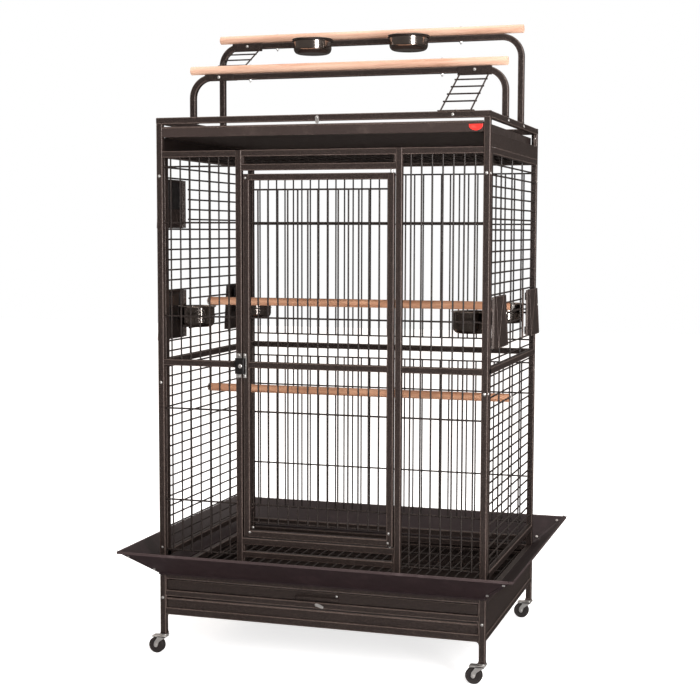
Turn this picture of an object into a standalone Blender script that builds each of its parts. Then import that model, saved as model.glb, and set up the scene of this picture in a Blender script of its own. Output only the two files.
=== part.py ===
"""Play-top parrot cage on a wheeled stand.

A 40 x 30 inch welded cage stands on a base with a slide-out grate and a slide-out tray.
A sloping skirt runs round it, five feeder doors open from its sides, and its roof is a play
area with two arches, two perches, two cups, two ladders and a tray of its own.

Metres, +Z up.  The origin is on the floor under the middle of the cage, +X is to the right
of someone who faces the door, and the door faces -Y.
"""
import math

import bmesh
import bpy
from mathutils import Matrix, Vector

# ---------------------------------------------------------------- driving dimensions
CAGE_WIDTH = 1.016
CAGE_DEPTH = 0.762
CAGE_HEIGHT = 1.3817          # posts' feet to the top of the roof frame
TUBE = 0.019                  # square tube of the frame
WIRE = 0.0045                 # bars of the grilles
WIRE_PITCH = 0.031            # middle to middle of neighbouring bars
WIRE_STEP = 3                 # the grilles carry every third bar of the finished cage
SHEET = 0.0015                # trays, skirt, bands
GAP = 0.0003                  # between pieces that touch
RUNNING_GAP = 0.0015          # round pieces that slide

# stand
WHEEL_DIAMETER = 0.050
WHEEL_WIDTH = 0.020
WHEEL_SHOULDER = 0.003        # chamfer of the tread
CASTER_TRAIL = 0.024          # wheel's axle behind the caster's stem
CASTER_RISE = 0.012           # top of a wheel to the foot of a leg
FLANGE_RADIUS = 0.0145
FLANGE_THICKNESS = 0.003
CROWN_GAP = 0.0035            # fork's crown above the wheel
CHEEK_GAP = 0.002             # fork's cheek beside the wheel
CHEEK_FRONT = 0.013           # cheek ahead of the stem
CHEEK_BACK = 0.010            # cheek behind the axle
AXLE_RADIUS = 0.003
AXLE_END = 0.0015             # how far the axle stands out of a cheek
LEG_HEIGHT = 0.189
BASE_RAIL = 0.0185            # height of the stand's top and bottom rails
MIDDLE_RAIL = 0.0225
WEB_INSET = 0.0045            # stand's side sheets in from its faces
GRATE_SLOT = 0.0305           # opening for the grate's front
GRATE_LIFT = 0.0185           # middle rail to the grate's underside
GRATE_RIM = 0.008
WIRE_SEAT = 0.001             # rim's underside to the grate's bars
GRATE_SETBACK = 0.005         # grate's front behind the rails' front
TRAY_SLOT = 0.037             # opening for the tray's front
TRAY_LIFT = 0.005             # bottom rail to the tray's underside
TRAY_HEIGHT = 0.030
TRAY_SETBACK = 0.004
TRAY_LIP = 0.003              # how far the lip stands out of the tray's front
TRAY_LIP_HEIGHT = 0.006
RIM_DROP = 0.004              # tray's side walls below its front
SLIDE_SETBACK = 0.006         # grate and tray end this far from the back rails
SLIDE_FRONT_GAP = 0.002       # grate behind the front rails
SLIDE_RUNNER = 0.003          # thickness of the ledges that carry grate and tray
RUNNER_REACH = 0.014          # how far the ledges reach in past the legs
PULL_WIDTH = 0.137
PULL_DEPTH = 0.010
PULL_LIFT = 0.004             # grate front's underside to the pull
TAB_THICKNESS = 0.002         # turn tab and turn clip
TAB_HALF_WIDTH = 0.006
SCREW_HEAD_RADIUS = 0.0045
SCREW_HEAD_HEIGHT = 0.002

# cage
MID_RAIL_HEIGHT = 0.650       # posts' feet to the middle of the mid rail
HIDDEN_RAIL_HEIGHT = 0.011    # posts' feet to the underside of the lowest rail
SIDE_RAIL_HEIGHT = 0.049      # posts' feet to the underside of the side's lowest rail
LOW_WIRE_HEIGHT = 0.0745      # posts' feet to the lowest bar
TRAY_BAY = 0.080              # space for the play tray under the roof frame
TRAY_BAND = 0.0405            # sheet band on the header that carries the play tray
TOP_WIRE_DROP = 0.027         # header down to the highest bar
CROSS_BAR_NEAR = 0.140        # cross bars above and below the mid rail
CROSS_BAR_FAR = 0.420
BACK_BAR_MARGIN = 0.029       # back bars stop this far from the mid rail
FEEDER_BAY = 0.197            # post to the middle of the upright beside a feeder door
STRIP_WIDTH = 0.012           # flat strips that carry the feeder doors
STRIP_THICKNESS = 0.006

# main door
DOOR_WIDTH = 0.462
DOOR_GAP = 0.0045             # door to its posts
DOOR_TOP_GAP = 0.010          # inner header to the door's top
LINTEL_DROP = 0.022           # header's underside to the inner header
DOOR_FOOT_HEIGHT = 0.1327     # posts' feet to the door's underside
SILL_DROP = 0.004             # door's underside to the sill
SILL_HEIGHT = 0.020
THRESHOLD_HEIGHT = 0.070      # posts' feet to the threshold's underside
THRESHOLD = 0.018
SURROUND_END = 0.006          # upright plates that join the rails above and below the door
DOOR_WIRE_TOP = 0.046         # door's top down to its highest bar
DOOR_WIRE_FOOT = 0.044
HINGE_PIN_RADIUS = 0.004
HINGE_PIN_REACH = 0.012       # how far a pin goes into each tube
LATCH_WIDTH = 0.0295
LATCH_OUTER_SHARE = 0.62      # share of the housing that covers the door's post
LATCH_HEIGHT = 0.047
LATCH_DEPTH = 0.018
LATCH_DROP = 0.003            # mid rail's middle to the latch's
LATCH_SPINDLE = 0.0016
KNOB_RADIUS = 0.0065
KNOB_DEPTH = 0.004
CAM_LENGTH = 0.017
CAM_BACK = 0.0019             # cam beyond its spindle's middle
CAM_HEIGHT = 0.014
CAM_TAPER = 0.003
CAM_THICKNESS = 0.003

# feeder doors and bowls
FEEDER_BARS = 5               # a feeder door is five pitches high
UPPER_FEEDER_BAR = 1          # its top bar, counted down from the highest
FEEDER_GAP = 0.001            # door to the edges of its opening
PAN_EDGE_DEPTH = 0.007        # how far the pressed door stands out at its top corners
PAN_PEAK_DEPTH = 0.013        # at the top of the fold
PAN_FOOT_DEPTH = 0.015        # at its bottom corners
BOWL_RADIUS = 0.0565          # outside of the wall
BOWL_RIM = 0.005              # width of the rim that hangs on the ring
BOWL_TAPER = 0.0085           # the foot is this much smaller in radius than the wall
BOWL_DEPTH = 0.063
BOWL_SHEET = 0.001
BOWL_SHOULDER = 0.6           # share of the depth where the wall starts to taper
BOWL_SIDES = 16               # facets round a bowl and its ring
BOWL_INSET = 0.012            # hinge line to the bowl's rim, into the cage
FRONT_BOWL_SHIFT = 0.0305     # hinge line to the bowl's rim, along a front door
REAR_BOWL_SHIFT = -0.004      # the same along a rear door
BOWL_RIM_DROP = 0.047         # door's top down to the bowl's ring
RING_THICKNESS = 0.002
RING_NECK = 0.050

# roof
PLAY_TRAY_HEIGHT = 0.031
PLAY_TRAY_LIP = 0.007         # width of the front's folded top
PLAY_TRAY_DROP = 0.003        # side walls below the front
CLIP_LIFT = 0.0005            # clip's end above the tray's front
CLIP_TIP = 0.003
ARCH_BEND = 0.063             # middle line of the tube
ARCH_STEPS = 5
FRONT_ARCH_Y = -0.123
REAR_ARCH_Y = 0.120
FRONT_ARCH_RISE = 0.142       # roof to the middle of the bar
REAR_ARCH_RISE = 0.267
PERCH_DIAMETER = 0.026
PERCH_OVERHANG = 0.003        # roof perches end short of the cage's sides
UPPER_PERCH_RISE = 0.1687     # above the middle of the mid rail
LOWER_PERCH_DROP = 0.1143     # below it
CUP_RADIUS = 0.0600
CUP_RIM = 0.0055
CUP_TAPER = 0.010
CUP_DEPTH = 0.046
CUP_X = 0.158
CUP_RING_LIFT = 0.0035        # middle of the rear arch's bar to the ring's top
CUP_BRACKET = 0.040
CUP_BRACKET_HEIGHT = 0.015
CUP_BRACKET_LIP = 0.004       # bracket above the ring
LADDER_INSET = 0.101          # ladder's middle in from the cage's side
LADDER_WIDTH = 0.092
LADDER_PLATE = 0.104
LADDER_PLATE_HEIGHT = 0.027
LADDER_PLATE_LIP = 0.006      # plate below the rods' upper end
LADDER_ROD = 0.005
LADDER_RUNGS = 4
RUNG_OVERHANG = 0.004
PLATE = 0.003

# skirt
SKIRT_REACH = 0.097
SKIRT_LIFT = 0.0025           # stand's top to the skirt's inner edge
SKIRT_RISE = 0.0795
SKIRT_LIP = 0.008

# ---------------------------------------------------------------- derived levels
HALF_WIDTH = CAGE_WIDTH / 2
HALF_DEPTH = CAGE_DEPTH / 2
INNER_X = HALF_WIDTH - TUBE
INNER_Y = HALF_DEPTH - TUBE
POST_X = HALF_WIDTH - TUBE / 2
POST_Y = HALF_DEPTH - TUBE / 2
CASTER_HEIGHT = WHEEL_DIAMETER + CASTER_RISE
BASE_TOP = CASTER_HEIGHT + LEG_HEIGHT
CAGE_FOOT = BASE_TOP + GAP
CAGE_TOP = CAGE_FOOT + CAGE_HEIGHT
POST_TOP = CAGE_TOP - TUBE - GAP
HEADER_TOP = CAGE_TOP - TUBE - TRAY_BAY
HEADER_FOOT = HEADER_TOP - TUBE
BAND_TOP = HEADER_TOP + TRAY_BAND
HIDDEN_RAIL = CAGE_FOOT + HIDDEN_RAIL_HEIGHT
MID_RAIL = CAGE_FOOT + MID_RAIL_HEIGHT
TOP_WIRE = HEADER_FOOT - TOP_WIRE_DROP
LOW_WIRE = CAGE_FOOT + LOW_WIRE_HEIGHT
SIDE_UPRIGHT_Y = INNER_Y - FEEDER_BAY
UPPER_SIDE_BARS = int((TOP_WIRE - MID_RAIL - TUBE / 2) / WIRE_PITCH)
LOWER_SIDE_BARS = int((MID_RAIL - TUBE / 2 - LOW_WIRE) / WIRE_PITCH)
LOWER_FEEDER_BAR = UPPER_SIDE_BARS - FEEDER_BARS - 1
DOOR_HALF = DOOR_WIDTH / 2
DOOR_POST_IN = DOOR_HALF + DOOR_GAP
DOOR_POST_OUT = DOOR_POST_IN + TUBE
LINTEL_TOP = HEADER_FOOT - LINTEL_DROP
LINTEL_FOOT = LINTEL_TOP - TUBE
DOOR_TOP = LINTEL_FOOT - DOOR_TOP_GAP
DOOR_FOOT = CAGE_FOOT + DOOR_FOOT_HEIGHT
SILL_TOP = DOOR_FOOT - SILL_DROP
TOP_RAIL_FOOT = BASE_TOP - BASE_RAIL
MIDDLE_RAIL_TOP = TOP_RAIL_FOOT - GRATE_SLOT
MIDDLE_RAIL_FOOT = MIDDLE_RAIL_TOP - MIDDLE_RAIL
LOW_RAIL_TOP = MIDDLE_RAIL_FOOT - TRAY_SLOT
LOW_RAIL_FOOT = LOW_RAIL_TOP - BASE_RAIL
GRATE_FOOT = MIDDLE_RAIL_TOP + GRATE_LIFT
TRAY_FOOT = LOW_RAIL_TOP + TRAY_LIFT
SLIDE_HALF = INNER_X - GAP - PLATE - RUNNING_GAP
SLIDE_FRONT = -INNER_Y + SLIDE_FRONT_GAP
SLIDE_BACK = INNER_Y - SLIDE_SETBACK
HINGE_X = DOOR_HALF - TUBE / 2
PLAY_TRAY_FOOT = BAND_TOP + GAP
PLAY_TRAY_RIM = PLAY_TRAY_FOOT + PLAY_TRAY_HEIGHT
CUP_RING_TOP = CAGE_TOP + REAR_ARCH_RISE + CUP_RING_LIFT
CUP_Y = REAR_ARCH_Y - TUBE / 2 - GAP - PLATE - RUNNING_GAP - CUP_RADIUS - CUP_RIM
SKIRT_FOOT = BASE_TOP + SKIRT_LIFT

LEFT, RIGHT = -1, 1

COLOURS = {
    "frame_paint": ((0.048, 0.037, 0.034, 1), 0.45, 0.3),
    "skirt_paint": ((0.054, 0.036, 0.041, 1), 0.40, 0.3),
    "stainless": ((0.60, 0.60, 0.61, 1), 0.18, 1.0),
    "zinc": ((0.55, 0.55, 0.56, 1), 0.25, 1.0),
    "perch_wood": ((0.72, 0.46, 0.31, 1), 0.65, 0.0),
    "wheel_plastic": ((0.055, 0.045, 0.042, 1), 0.55, 0.0),
    "latch_plastic": ((0.012, 0.012, 0.013, 1), 0.35, 0.0),
}


# ---------------------------------------------------------------- helpers
def clear_scene():
    for item in list(bpy.context.scene.objects):
        bpy.data.objects.remove(item, do_unlink=True)


def new_object(name, mesh, colour):
    """Link a mesh as an object with its own material."""
    base, roughness, metallic = COLOURS[colour]
    material = bpy.data.materials.new(f"{name}_{colour}")
    material.use_nodes = True
    shader = material.node_tree.nodes["Principled BSDF"]
    shader.inputs["Base Color"].default_value = base
    shader.inputs["Roughness"].default_value = roughness
    shader.inputs["Metallic"].default_value = metallic
    mesh.materials.clear()
    mesh.materials.append(material)
    item = bpy.data.objects.new(name, mesh)
    bpy.context.scene.collection.objects.link(item)
    return item


def mesh_from_faces(name, points, faces):
    """A mesh whose faces all point out."""
    mesh = bpy.data.meshes.new(name)
    mesh.from_pydata(points, [], faces)
    work = bmesh.new()
    work.from_mesh(mesh)
    bmesh.ops.recalc_face_normals(work, faces=work.faces)
    work.to_mesh(mesh)
    work.free()
    return mesh


def box(x0, x1, y0, y1, z0, z1):
    """A box as three sorted spans."""
    return (min(x0, x1), max(x0, x1)), (min(y0, y1), max(y0, y1)), (min(z0, z1), max(z0, z1))


def union_of_boxes(name, boxes, colour):
    """One closed body from boxes that overlap or share faces: the outside of the filled cells."""
    cuts = [sorted({round(edge, 6) for item in boxes for edge in item[axis]}) for axis in range(3)]
    filled = set()
    for item in boxes:
        spans = []
        for axis in range(3):
            low = cuts[axis].index(round(item[axis][0], 6))
            high = cuts[axis].index(round(item[axis][1], 6))
            spans.append(range(low, high))
        filled.update((i, j, k) for i in spans[0] for j in spans[1] for k in spans[2])
    points = {}
    faces = []
    for cell in sorted(filled):
        for axis in range(3):
            for side in (0, 1):
                beyond = list(cell)
                beyond[axis] += 1 if side else -1
                if tuple(beyond) in filled:
                    continue
                across, along = (axis + 1) % 3, (axis + 2) % 3
                face = []
                for step_across, step_along in ((0, 0), (1, 0), (1, 1), (0, 1)):
                    corner = list(cell)
                    corner[axis] += side
                    corner[across] += step_across
                    corner[along] += step_along
                    face.append(points.setdefault(tuple(corner), len(points)))
                faces.append(face if side else face[::-1])
    places = [tuple(cuts[axis][corner[axis]] for axis in range(3)) for corner in points]
    return new_object(name, mesh_from_faces(name, places, faces), colour)


def prism(name, outline, low, high, colour, axis="Y"):
    """Extrude an outline of (a, b) points along an axis."""
    def place(a, b, along):
        return {"X": (along, a, b), "Y": (a, along, b), "Z": (a, b, along)}[axis]

    count = len(outline)
    points = [place(a, b, low) for a, b in outline] + [place(a, b, high) for a, b in outline]
    faces = [list(range(count)), [count + i for i in range(count)]]
    for i in range(count):
        j = (i + 1) % count
        faces.append([i, j, count + j, count + i])
    return new_object(name, mesh_from_faces(name, points, faces), colour)


def circle(radius, segments, a=0.0, b=0.0):
    turn = math.tau / segments
    return [(a + radius * math.cos(turn * i), b + radius * math.sin(turn * i)) for i in range(segments)]


def rod(name, middle, radius, low, high, colour, axis, segments=12):
    """A round bar along an axis."""
    return prism(name, circle(radius, segments, *middle), low, high, colour, axis)


def turned(name, profile, colour, segments=16):
    """Turn a closed (radius, z) profile about Z; a radius of 0 is a point on the axis."""
    rings = []
    points = []
    for radius, z in profile:
        if radius == 0:
            rings.append([len(points)] * segments)
            points.append((0, 0, z))
        else:
            rings.append([len(points) + i for i in range(segments)])
            points.extend((x, y, z) for x, y in circle(radius, segments))
    faces = []
    pairs = list(zip(rings, rings[1:]))
    if profile[0][0] and profile[-1][0]:
        pairs.append((rings[-1], rings[0]))
    for lower, upper in pairs:
        for i in range(segments):
            j = (i + 1) % segments
            face = list(dict.fromkeys((lower[i], lower[j], upper[j], upper[i])))
            if len(face) > 2:
                faces.append(face)
    return new_object(name, mesh_from_faces(name, points, faces), colour)


def combine(target, others, operation="UNION"):
    """Join, or cut away, other solids and remove them."""
    for other in others:
        step = target.modifiers.new(operation.lower(), "BOOLEAN")
        step.operation = operation
        step.solver = "EXACT"
        step.object = other
        graph = bpy.context.evaluated_depsgraph_get()
        result = bpy.data.meshes.new_from_object(target.evaluated_get(graph))
        target.modifiers.remove(step)
        slot = target.data.materials[0]
        target.data = result
        target.data.materials.clear()
        target.data.materials.append(slot)
        bpy.data.objects.remove(other, do_unlink=True)
    return target


def shade_round(item, angle=40):
    item.data.shade_smooth()
    item.data.set_sharp_from_angle(angle=math.radians(angle))
    return item


def set_origin(item, point):
    """Put the object's origin on its joint's axis without moving the shape."""
    item.data.transform(Matrix.Translation(-Vector(point)))
    item.location = point
    return item


def ride_on(child, parent):
    """Parent an object that stays where it is."""
    child.parent = parent
    child.matrix_parent_inverse = Matrix.Translation(-parent.location)


def bar_places(limit, step=WIRE_STEP):
    """Places of every step-th bar, spread from the middle out, inside +/- limit."""
    reach = int((limit - WIRE) / WIRE_PITCH)
    reach -= reach % step
    return [i * WIRE_PITCH for i in range(-reach, reach + 1, step)]


def upright(x, y0, y1, z0, z1):
    return box(x - WIRE / 2, x + WIRE / 2, y0, y1, z0, z1)


# ---------------------------------------------------------------- stand
def base_side(name, side):
    """Two legs, two rails and a sheet, with the ledges that carry the grate and the tray."""
    outer = side * HALF_WIDTH
    inner = side * INNER_X
    web = outer - side * WEB_INSET
    reach = inner - side * RUNNER_REACH
    boxes = []
    for front in (-1, 1):
        boxes.append(box(inner, outer, front * INNER_Y, front * HALF_DEPTH, CASTER_HEIGHT, BASE_TOP))
    for foot, top in ((TOP_RAIL_FOOT, BASE_TOP), (LOW_RAIL_FOOT, LOW_RAIL_TOP)):
        boxes.append(box(inner, outer, -INNER_Y, INNER_Y, foot, top))
    boxes.append(box(web - side * SHEET, web, -INNER_Y, INNER_Y, LOW_RAIL_TOP, TOP_RAIL_FOOT))
    for ledge in (GRATE_FOOT - GAP, TRAY_FOOT - GAP):
        boxes.append(box(reach, web, -INNER_Y, INNER_Y, ledge - SLIDE_RUNNER, ledge))
    return union_of_boxes(name, boxes, "frame_paint")


def base_back():
    """Rails and sheet between the back legs."""
    end = INNER_X - GAP
    web = HALF_DEPTH - WEB_INSET
    boxes = [
        box(-end, end, INNER_Y, HALF_DEPTH, TOP_RAIL_FOOT, BASE_TOP),
        box(-end, end, INNER_Y, HALF_DEPTH, LOW_RAIL_FOOT, LOW_RAIL_TOP),
        box(-end, end, web - SHEET, web, LOW_RAIL_TOP, TOP_RAIL_FOOT),
    ]
    return union_of_boxes("base_back", boxes, "frame_paint")


def base_front():
    """Three rails between the front legs, on an end plate each side."""
    end = INNER_X - GAP
    boxes = []
    for foot, top in (
        (TOP_RAIL_FOOT, BASE_TOP),
        (MIDDLE_RAIL_FOOT, MIDDLE_RAIL_TOP),
        (LOW_RAIL_FOOT, LOW_RAIL_TOP),
    ):
        boxes.append(box(-end, end, -HALF_DEPTH, -INNER_Y, foot, top))
    for side in (LEFT, RIGHT):
        boxes.append(box(side * (end - PLATE), side * end, -HALF_DEPTH, -INNER_Y, LOW_RAIL_FOOT, BASE_TOP))
    return union_of_boxes("base_front_frame", boxes, "frame_paint")


def floor_grate():
    """Slide-out floor grate: a rim, bars front to back and cross bars under them."""
    front = SLIDE_FRONT
    foot, top = GRATE_FOOT, GRATE_FOOT + GRATE_RIM
    low, high = foot + WIRE_SEAT, foot + WIRE_SEAT + WIRE
    boxes = []
    for y0, y1 in ((front, front + GRATE_RIM), (SLIDE_BACK - GRATE_RIM, SLIDE_BACK)):
        boxes.append(box(-SLIDE_HALF, SLIDE_HALF, y0, y1, foot, top))
    for side in (LEFT, RIGHT):
        boxes.append(box(side * (SLIDE_HALF - GRATE_RIM), side * SLIDE_HALF, front, SLIDE_BACK, foot, top))
    for x in bar_places(SLIDE_HALF - GRATE_RIM):
        boxes.append(upright(x, front, SLIDE_BACK, low, high))
    for y in (-SIDE_UPRIGHT_Y, SIDE_UPRIGHT_Y):
        boxes.append(box(-SLIDE_HALF, SLIDE_HALF, y - WIRE / 2, y + WIRE / 2, low, high))
    return union_of_boxes("floor_grate", boxes, "frame_paint")


def grate_front():
    """Sheet front of the grate with its pull."""
    back = SLIDE_FRONT - GAP
    face = -HALF_DEPTH + GRATE_SETBACK
    foot = MIDDLE_RAIL_TOP + RUNNING_GAP
    top = TOP_RAIL_FOOT - RUNNING_GAP
    pull_foot = foot + PULL_LIFT
    pull_face = face - PULL_DEPTH
    pull_half = PULL_WIDTH / 2
    boxes = [
        box(-SLIDE_HALF, SLIDE_HALF, face, face + SHEET, foot, top),
        box(-SLIDE_HALF, SLIDE_HALF, face, back, foot, foot + SHEET),
        box(-pull_half, pull_half, pull_face, face, pull_foot, pull_foot + SHEET),
        box(-pull_half, pull_half, pull_face, pull_face + SHEET, pull_foot, pull_foot + PULL_DEPTH),
    ]
    return union_of_boxes("grate_front", boxes, "frame_paint")


def bottom_tray():
    """Slide-out litter tray with a front that has a rounded lip."""
    face = -HALF_DEPTH + TRAY_SETBACK
    floor = TRAY_FOOT
    rim = floor + TRAY_HEIGHT
    wall = rim - RIM_DROP
    boxes = [
        box(-SLIDE_HALF, SLIDE_HALF, face, SLIDE_BACK, floor, floor + SHEET),
        box(-SLIDE_HALF, SLIDE_HALF, face, face + SHEET, floor, rim),
        box(-SLIDE_HALF, SLIDE_HALF, face - TRAY_LIP, face, rim - TRAY_LIP_HEIGHT, rim),
        box(-SLIDE_HALF, SLIDE_HALF, SLIDE_BACK - SHEET, SLIDE_BACK, floor, wall),
    ]
    for side in (LEFT, RIGHT):
        boxes.append(box(side * (SLIDE_HALF - SHEET), side * SLIDE_HALF, face, SLIDE_BACK, floor, wall))
    return union_of_boxes("bottom_tray", boxes, "frame_paint")


def screw_head(middle, face):
    """Round head that stands on a front face and is joined to it."""
    front = face - SCREW_HEAD_HEIGHT
    return rod("screw_head", middle, SCREW_HEAD_RADIUS, front, face + SHEET / 2, "zinc", "Y", 10)


def drawer_latch():
    """Turn tab on the middle rail that turns down over the tray's front."""
    pivot_z = (MIDDLE_RAIL_FOOT + MIDDLE_RAIL_TOP) / 2 + 0.003
    face = -HALF_DEPTH - GAP
    outline = [(-TAB_HALF_WIDTH, 0.005), (-TAB_HALF_WIDTH, -0.005), (0.020, -0.010), (0.021, -0.002)]
    tab = prism("drawer_latch", outline, face - TAB_THICKNESS, face, "zinc")
    combine(tab, [screw_head((0, 0), face - TAB_THICKNESS)])
    tab.data.transform(Matrix.Translation((0, 0, pivot_z)))
    return set_origin(tab, (0, face, pivot_z))


def caster_fork(name, x, y):
    """Stamped fork with its flange and the wheel's axle; it swivels about the leg's middle."""
    axle_z = WHEEL_DIAMETER / 2
    cheek_in = WHEEL_WIDTH / 2 + CHEEK_GAP
    cheek_out = cheek_in + SHEET
    crown_foot = WHEEL_DIAMETER + CROWN_GAP
    crown_top = CASTER_HEIGHT - FLANGE_THICKNESS
    front, back = CHEEK_FRONT, -CASTER_TRAIL - CHEEK_BACK
    fork = rod(name, (0, 0), FLANGE_RADIUS, crown_top - 0.001, CASTER_HEIGHT - GAP, "zinc", "Z", 16)
    crown = prism("crown", [(back, -cheek_out), (front, -cheek_out), (front, cheek_out), (back, cheek_out)],
                  crown_foot, crown_top, "zinc", "Z")
    pieces = [crown]
    for side in (LEFT, RIGHT):
        cheek = [(back, crown_top - 0.0005), (front, crown_top - 0.0005), (front, crown_foot - 0.002),
                 (-CASTER_TRAIL + 0.006, axle_z - 0.003), (-CASTER_TRAIL, axle_z - 0.007),
                 (-CASTER_TRAIL - 0.006, axle_z - 0.003)]
        low, high = sorted((side * cheek_in, side * cheek_out))
        pieces.append(prism("cheek", cheek, low, high, "zinc"))
    axle_end = cheek_out + AXLE_END
    pieces.append(rod("axle", (-CASTER_TRAIL, axle_z), AXLE_RADIUS, -axle_end, axle_end, "zinc", "Y", 8))
    combine(fork, pieces)
    fork.data.transform(Matrix.Translation((x, y, 0)))
    return set_origin(fork, (x, y, CASTER_HEIGHT))


def caster_wheel(name, fork, x, y):
    """Tread with rounded shoulders on a plain bore."""
    half = WHEEL_WIDTH / 2
    radius = WHEEL_DIAMETER / 2
    bore = AXLE_RADIUS + GAP
    profile = [(bore, -half), (radius - WHEEL_SHOULDER, -half), (radius, -half + WHEEL_SHOULDER),
               (radius, half - WHEEL_SHOULDER), (radius - WHEEL_SHOULDER, half), (bore, half)]
    wheel = turned(name, profile, "wheel_plastic", 18)
    wheel.data.transform(Matrix.Rotation(math.pi / 2, 4, "X"))
    shade_round(wheel)
    wheel.location = (x - CASTER_TRAIL, y, radius)
    ride_on(wheel, fork)
    return wheel


def skirt_panel(name, half_length, edge, turn):
    """One sloping sheet of the skirt, mitred at both ends and turned to its side of the cage."""
    thick = SHEET / math.cos(math.atan2(SKIRT_RISE, SKIRT_REACH))
    near, far = 2 * GAP, SKIRT_REACH
    top = SKIRT_FOOT + SKIRT_RISE
    section = [(near, SKIRT_FOOT), (far - SHEET, top), (far, top), (far, top - SKIRT_LIP),
               (far - SHEET, top - SKIRT_LIP), (far - SHEET, top - thick), (near, SKIRT_FOOT - thick)]
    points = []
    for end in (-1, 1):
        points += [(end * (half_length + offset - GAP), -(edge + offset), z) for offset, z in section]
    count = len(section)
    faces = [list(range(count)), [count + i for i in range(count)]]
    for i in range(count):
        j = (i + 1) % count
        faces.append([i, j, count + j, count + i])
    mesh = mesh_from_faces(name, points, faces)
    mesh.transform(Matrix.Rotation(turn, 4, "Z"))
    return new_object(name, mesh, "skirt_paint")


# ---------------------------------------------------------------- cage walls
def side_bar_levels(extra=()):
    """Levels of a side grille's bars: counted down from the top, then up from the foot."""
    chosen = set(range(0, UPPER_SIDE_BARS + 1, WIRE_STEP)) | set(extra)
    upper = [TOP_WIRE - i * WIRE_PITCH for i in sorted(chosen)]
    lower = [LOW_WIRE + i * WIRE_PITCH for i in range(0, LOWER_SIDE_BARS + 1, WIRE_STEP)]
    return upper, lower


def feeder_span(rear):
    """Hinge line and far edge, along Y, of the opening in the front or rear bay."""
    if rear:
        return SIDE_UPRIGHT_Y + WIRE / 2 + STRIP_WIDTH, INNER_Y
    return -INNER_Y + STRIP_WIDTH, -SIDE_UPRIGHT_Y - WIRE / 2


def feeder_levels(top_bar):
    """Foot and top of the opening under a given bar."""
    top = TOP_WIRE - top_bar * WIRE_PITCH
    return top - FEEDER_BARS * WIRE_PITCH + WIRE / 2, top - WIRE / 2


def side_panel(name, side, feeders):
    """Posts, rails, tray band, bars and the openings for the feeder doors."""
    outer = side * HALF_WIDTH
    inner = side * INNER_X
    bar = side * POST_X - WIRE / 2, side * POST_X + WIRE / 2
    boxes = []
    for front in (-1, 1):
        boxes.append(box(inner, outer, front * INNER_Y, front * HALF_DEPTH, CAGE_FOOT, POST_TOP))
    side_foot = CAGE_FOOT + SIDE_RAIL_HEIGHT
    for foot in (HEADER_FOOT, MID_RAIL - TUBE / 2, side_foot):
        boxes.append(box(inner, outer, -INNER_Y, INNER_Y, foot, foot + TUBE))
    boxes.append(box(outer - side * SHEET, outer, -INNER_Y, INNER_Y, HEADER_TOP, BAND_TOP))
    boxes.append(box(inner - side * RUNNER_REACH, outer, -INNER_Y, INNER_Y, BAND_TOP - SHEET, BAND_TOP))

    bars = {top_bar + offset for rear, top_bar in feeders for offset in (0, FEEDER_BARS)}
    upper, lower = side_bar_levels(bars)
    for level in upper + lower:
        spans = [(-INNER_Y, INNER_Y)]
        for rear, top_bar in feeders:
            foot, top = feeder_levels(top_bar)
            if foot < level < top:
                near, far = (SIDE_UPRIGHT_Y, INNER_Y) if rear else (-INNER_Y, -SIDE_UPRIGHT_Y)
                cut = []
                for low, high in spans:
                    cut += [(low, min(high, near)), (max(low, far), high)]
                spans = [span for span in cut if span[1] - span[0] > WIRE]
        for low, high in spans:
            boxes.append(box(*bar, low, high, level - WIRE / 2, level + WIRE / 2))
    for y in (-SIDE_UPRIGHT_Y, 0, SIDE_UPRIGHT_Y):
        boxes.append(box(*bar, y - WIRE / 2, y + WIRE / 2, side_foot, HEADER_FOOT))
    for rear, top_bar in feeders:
        hinge, far = feeder_span(rear)
        foot, top = feeder_levels(top_bar)
        strip = side * POST_X - STRIP_THICKNESS / 2, side * POST_X + STRIP_THICKNESS / 2
        boxes.append(box(*strip, hinge - STRIP_WIDTH, hinge, foot, top))
    return union_of_boxes(name, boxes, "frame_paint")


def cross_bar_levels():
    """Levels of the cross bars on the front and the back."""
    near = [MID_RAIL - CROSS_BAR_NEAR, MID_RAIL + CROSS_BAR_NEAR]
    far = [MID_RAIL - CROSS_BAR_FAR, MID_RAIL + CROSS_BAR_FAR]
    return [LOW_WIRE] + far[:1] + near + far[1:] + [TOP_WIRE]


def back_panel():
    """Back wall: band, rails, edge strips and two fields of bars."""
    end = INNER_X - GAP
    middle = (POST_Y - WIRE / 2, POST_Y + WIRE / 2)
    margin = TUBE / 2 + BACK_BAR_MARGIN
    boxes = [
        box(-end, end, INNER_Y, HALF_DEPTH, HEADER_FOOT, HEADER_TOP),
        box(-end, end, HALF_DEPTH - SHEET, HALF_DEPTH, HEADER_TOP, BAND_TOP),
        box(-end, end, INNER_Y, HALF_DEPTH, MID_RAIL - TUBE / 2, MID_RAIL + TUBE / 2),
        box(-end, end, INNER_Y, HALF_DEPTH, HIDDEN_RAIL, HIDDEN_RAIL + TUBE),
    ]
    for side in (LEFT, RIGHT):
        boxes.append(box(side * (end - 2 * WIRE), side * end, *middle, HIDDEN_RAIL, HEADER_TOP))
    fields = ((MID_RAIL + margin, TOP_WIRE), (LOW_WIRE, MID_RAIL - margin))
    for foot, top in fields:
        for level in [foot, top] + [item for item in cross_bar_levels() if foot < item < top]:
            boxes.append(box(-end, end, *middle, level - WIRE / 2, level + WIRE / 2))
        for x in bar_places(INNER_X):
            boxes.append(upright(x, *middle, foot, top))
    return union_of_boxes("back_panel", boxes, "frame_paint")


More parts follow.
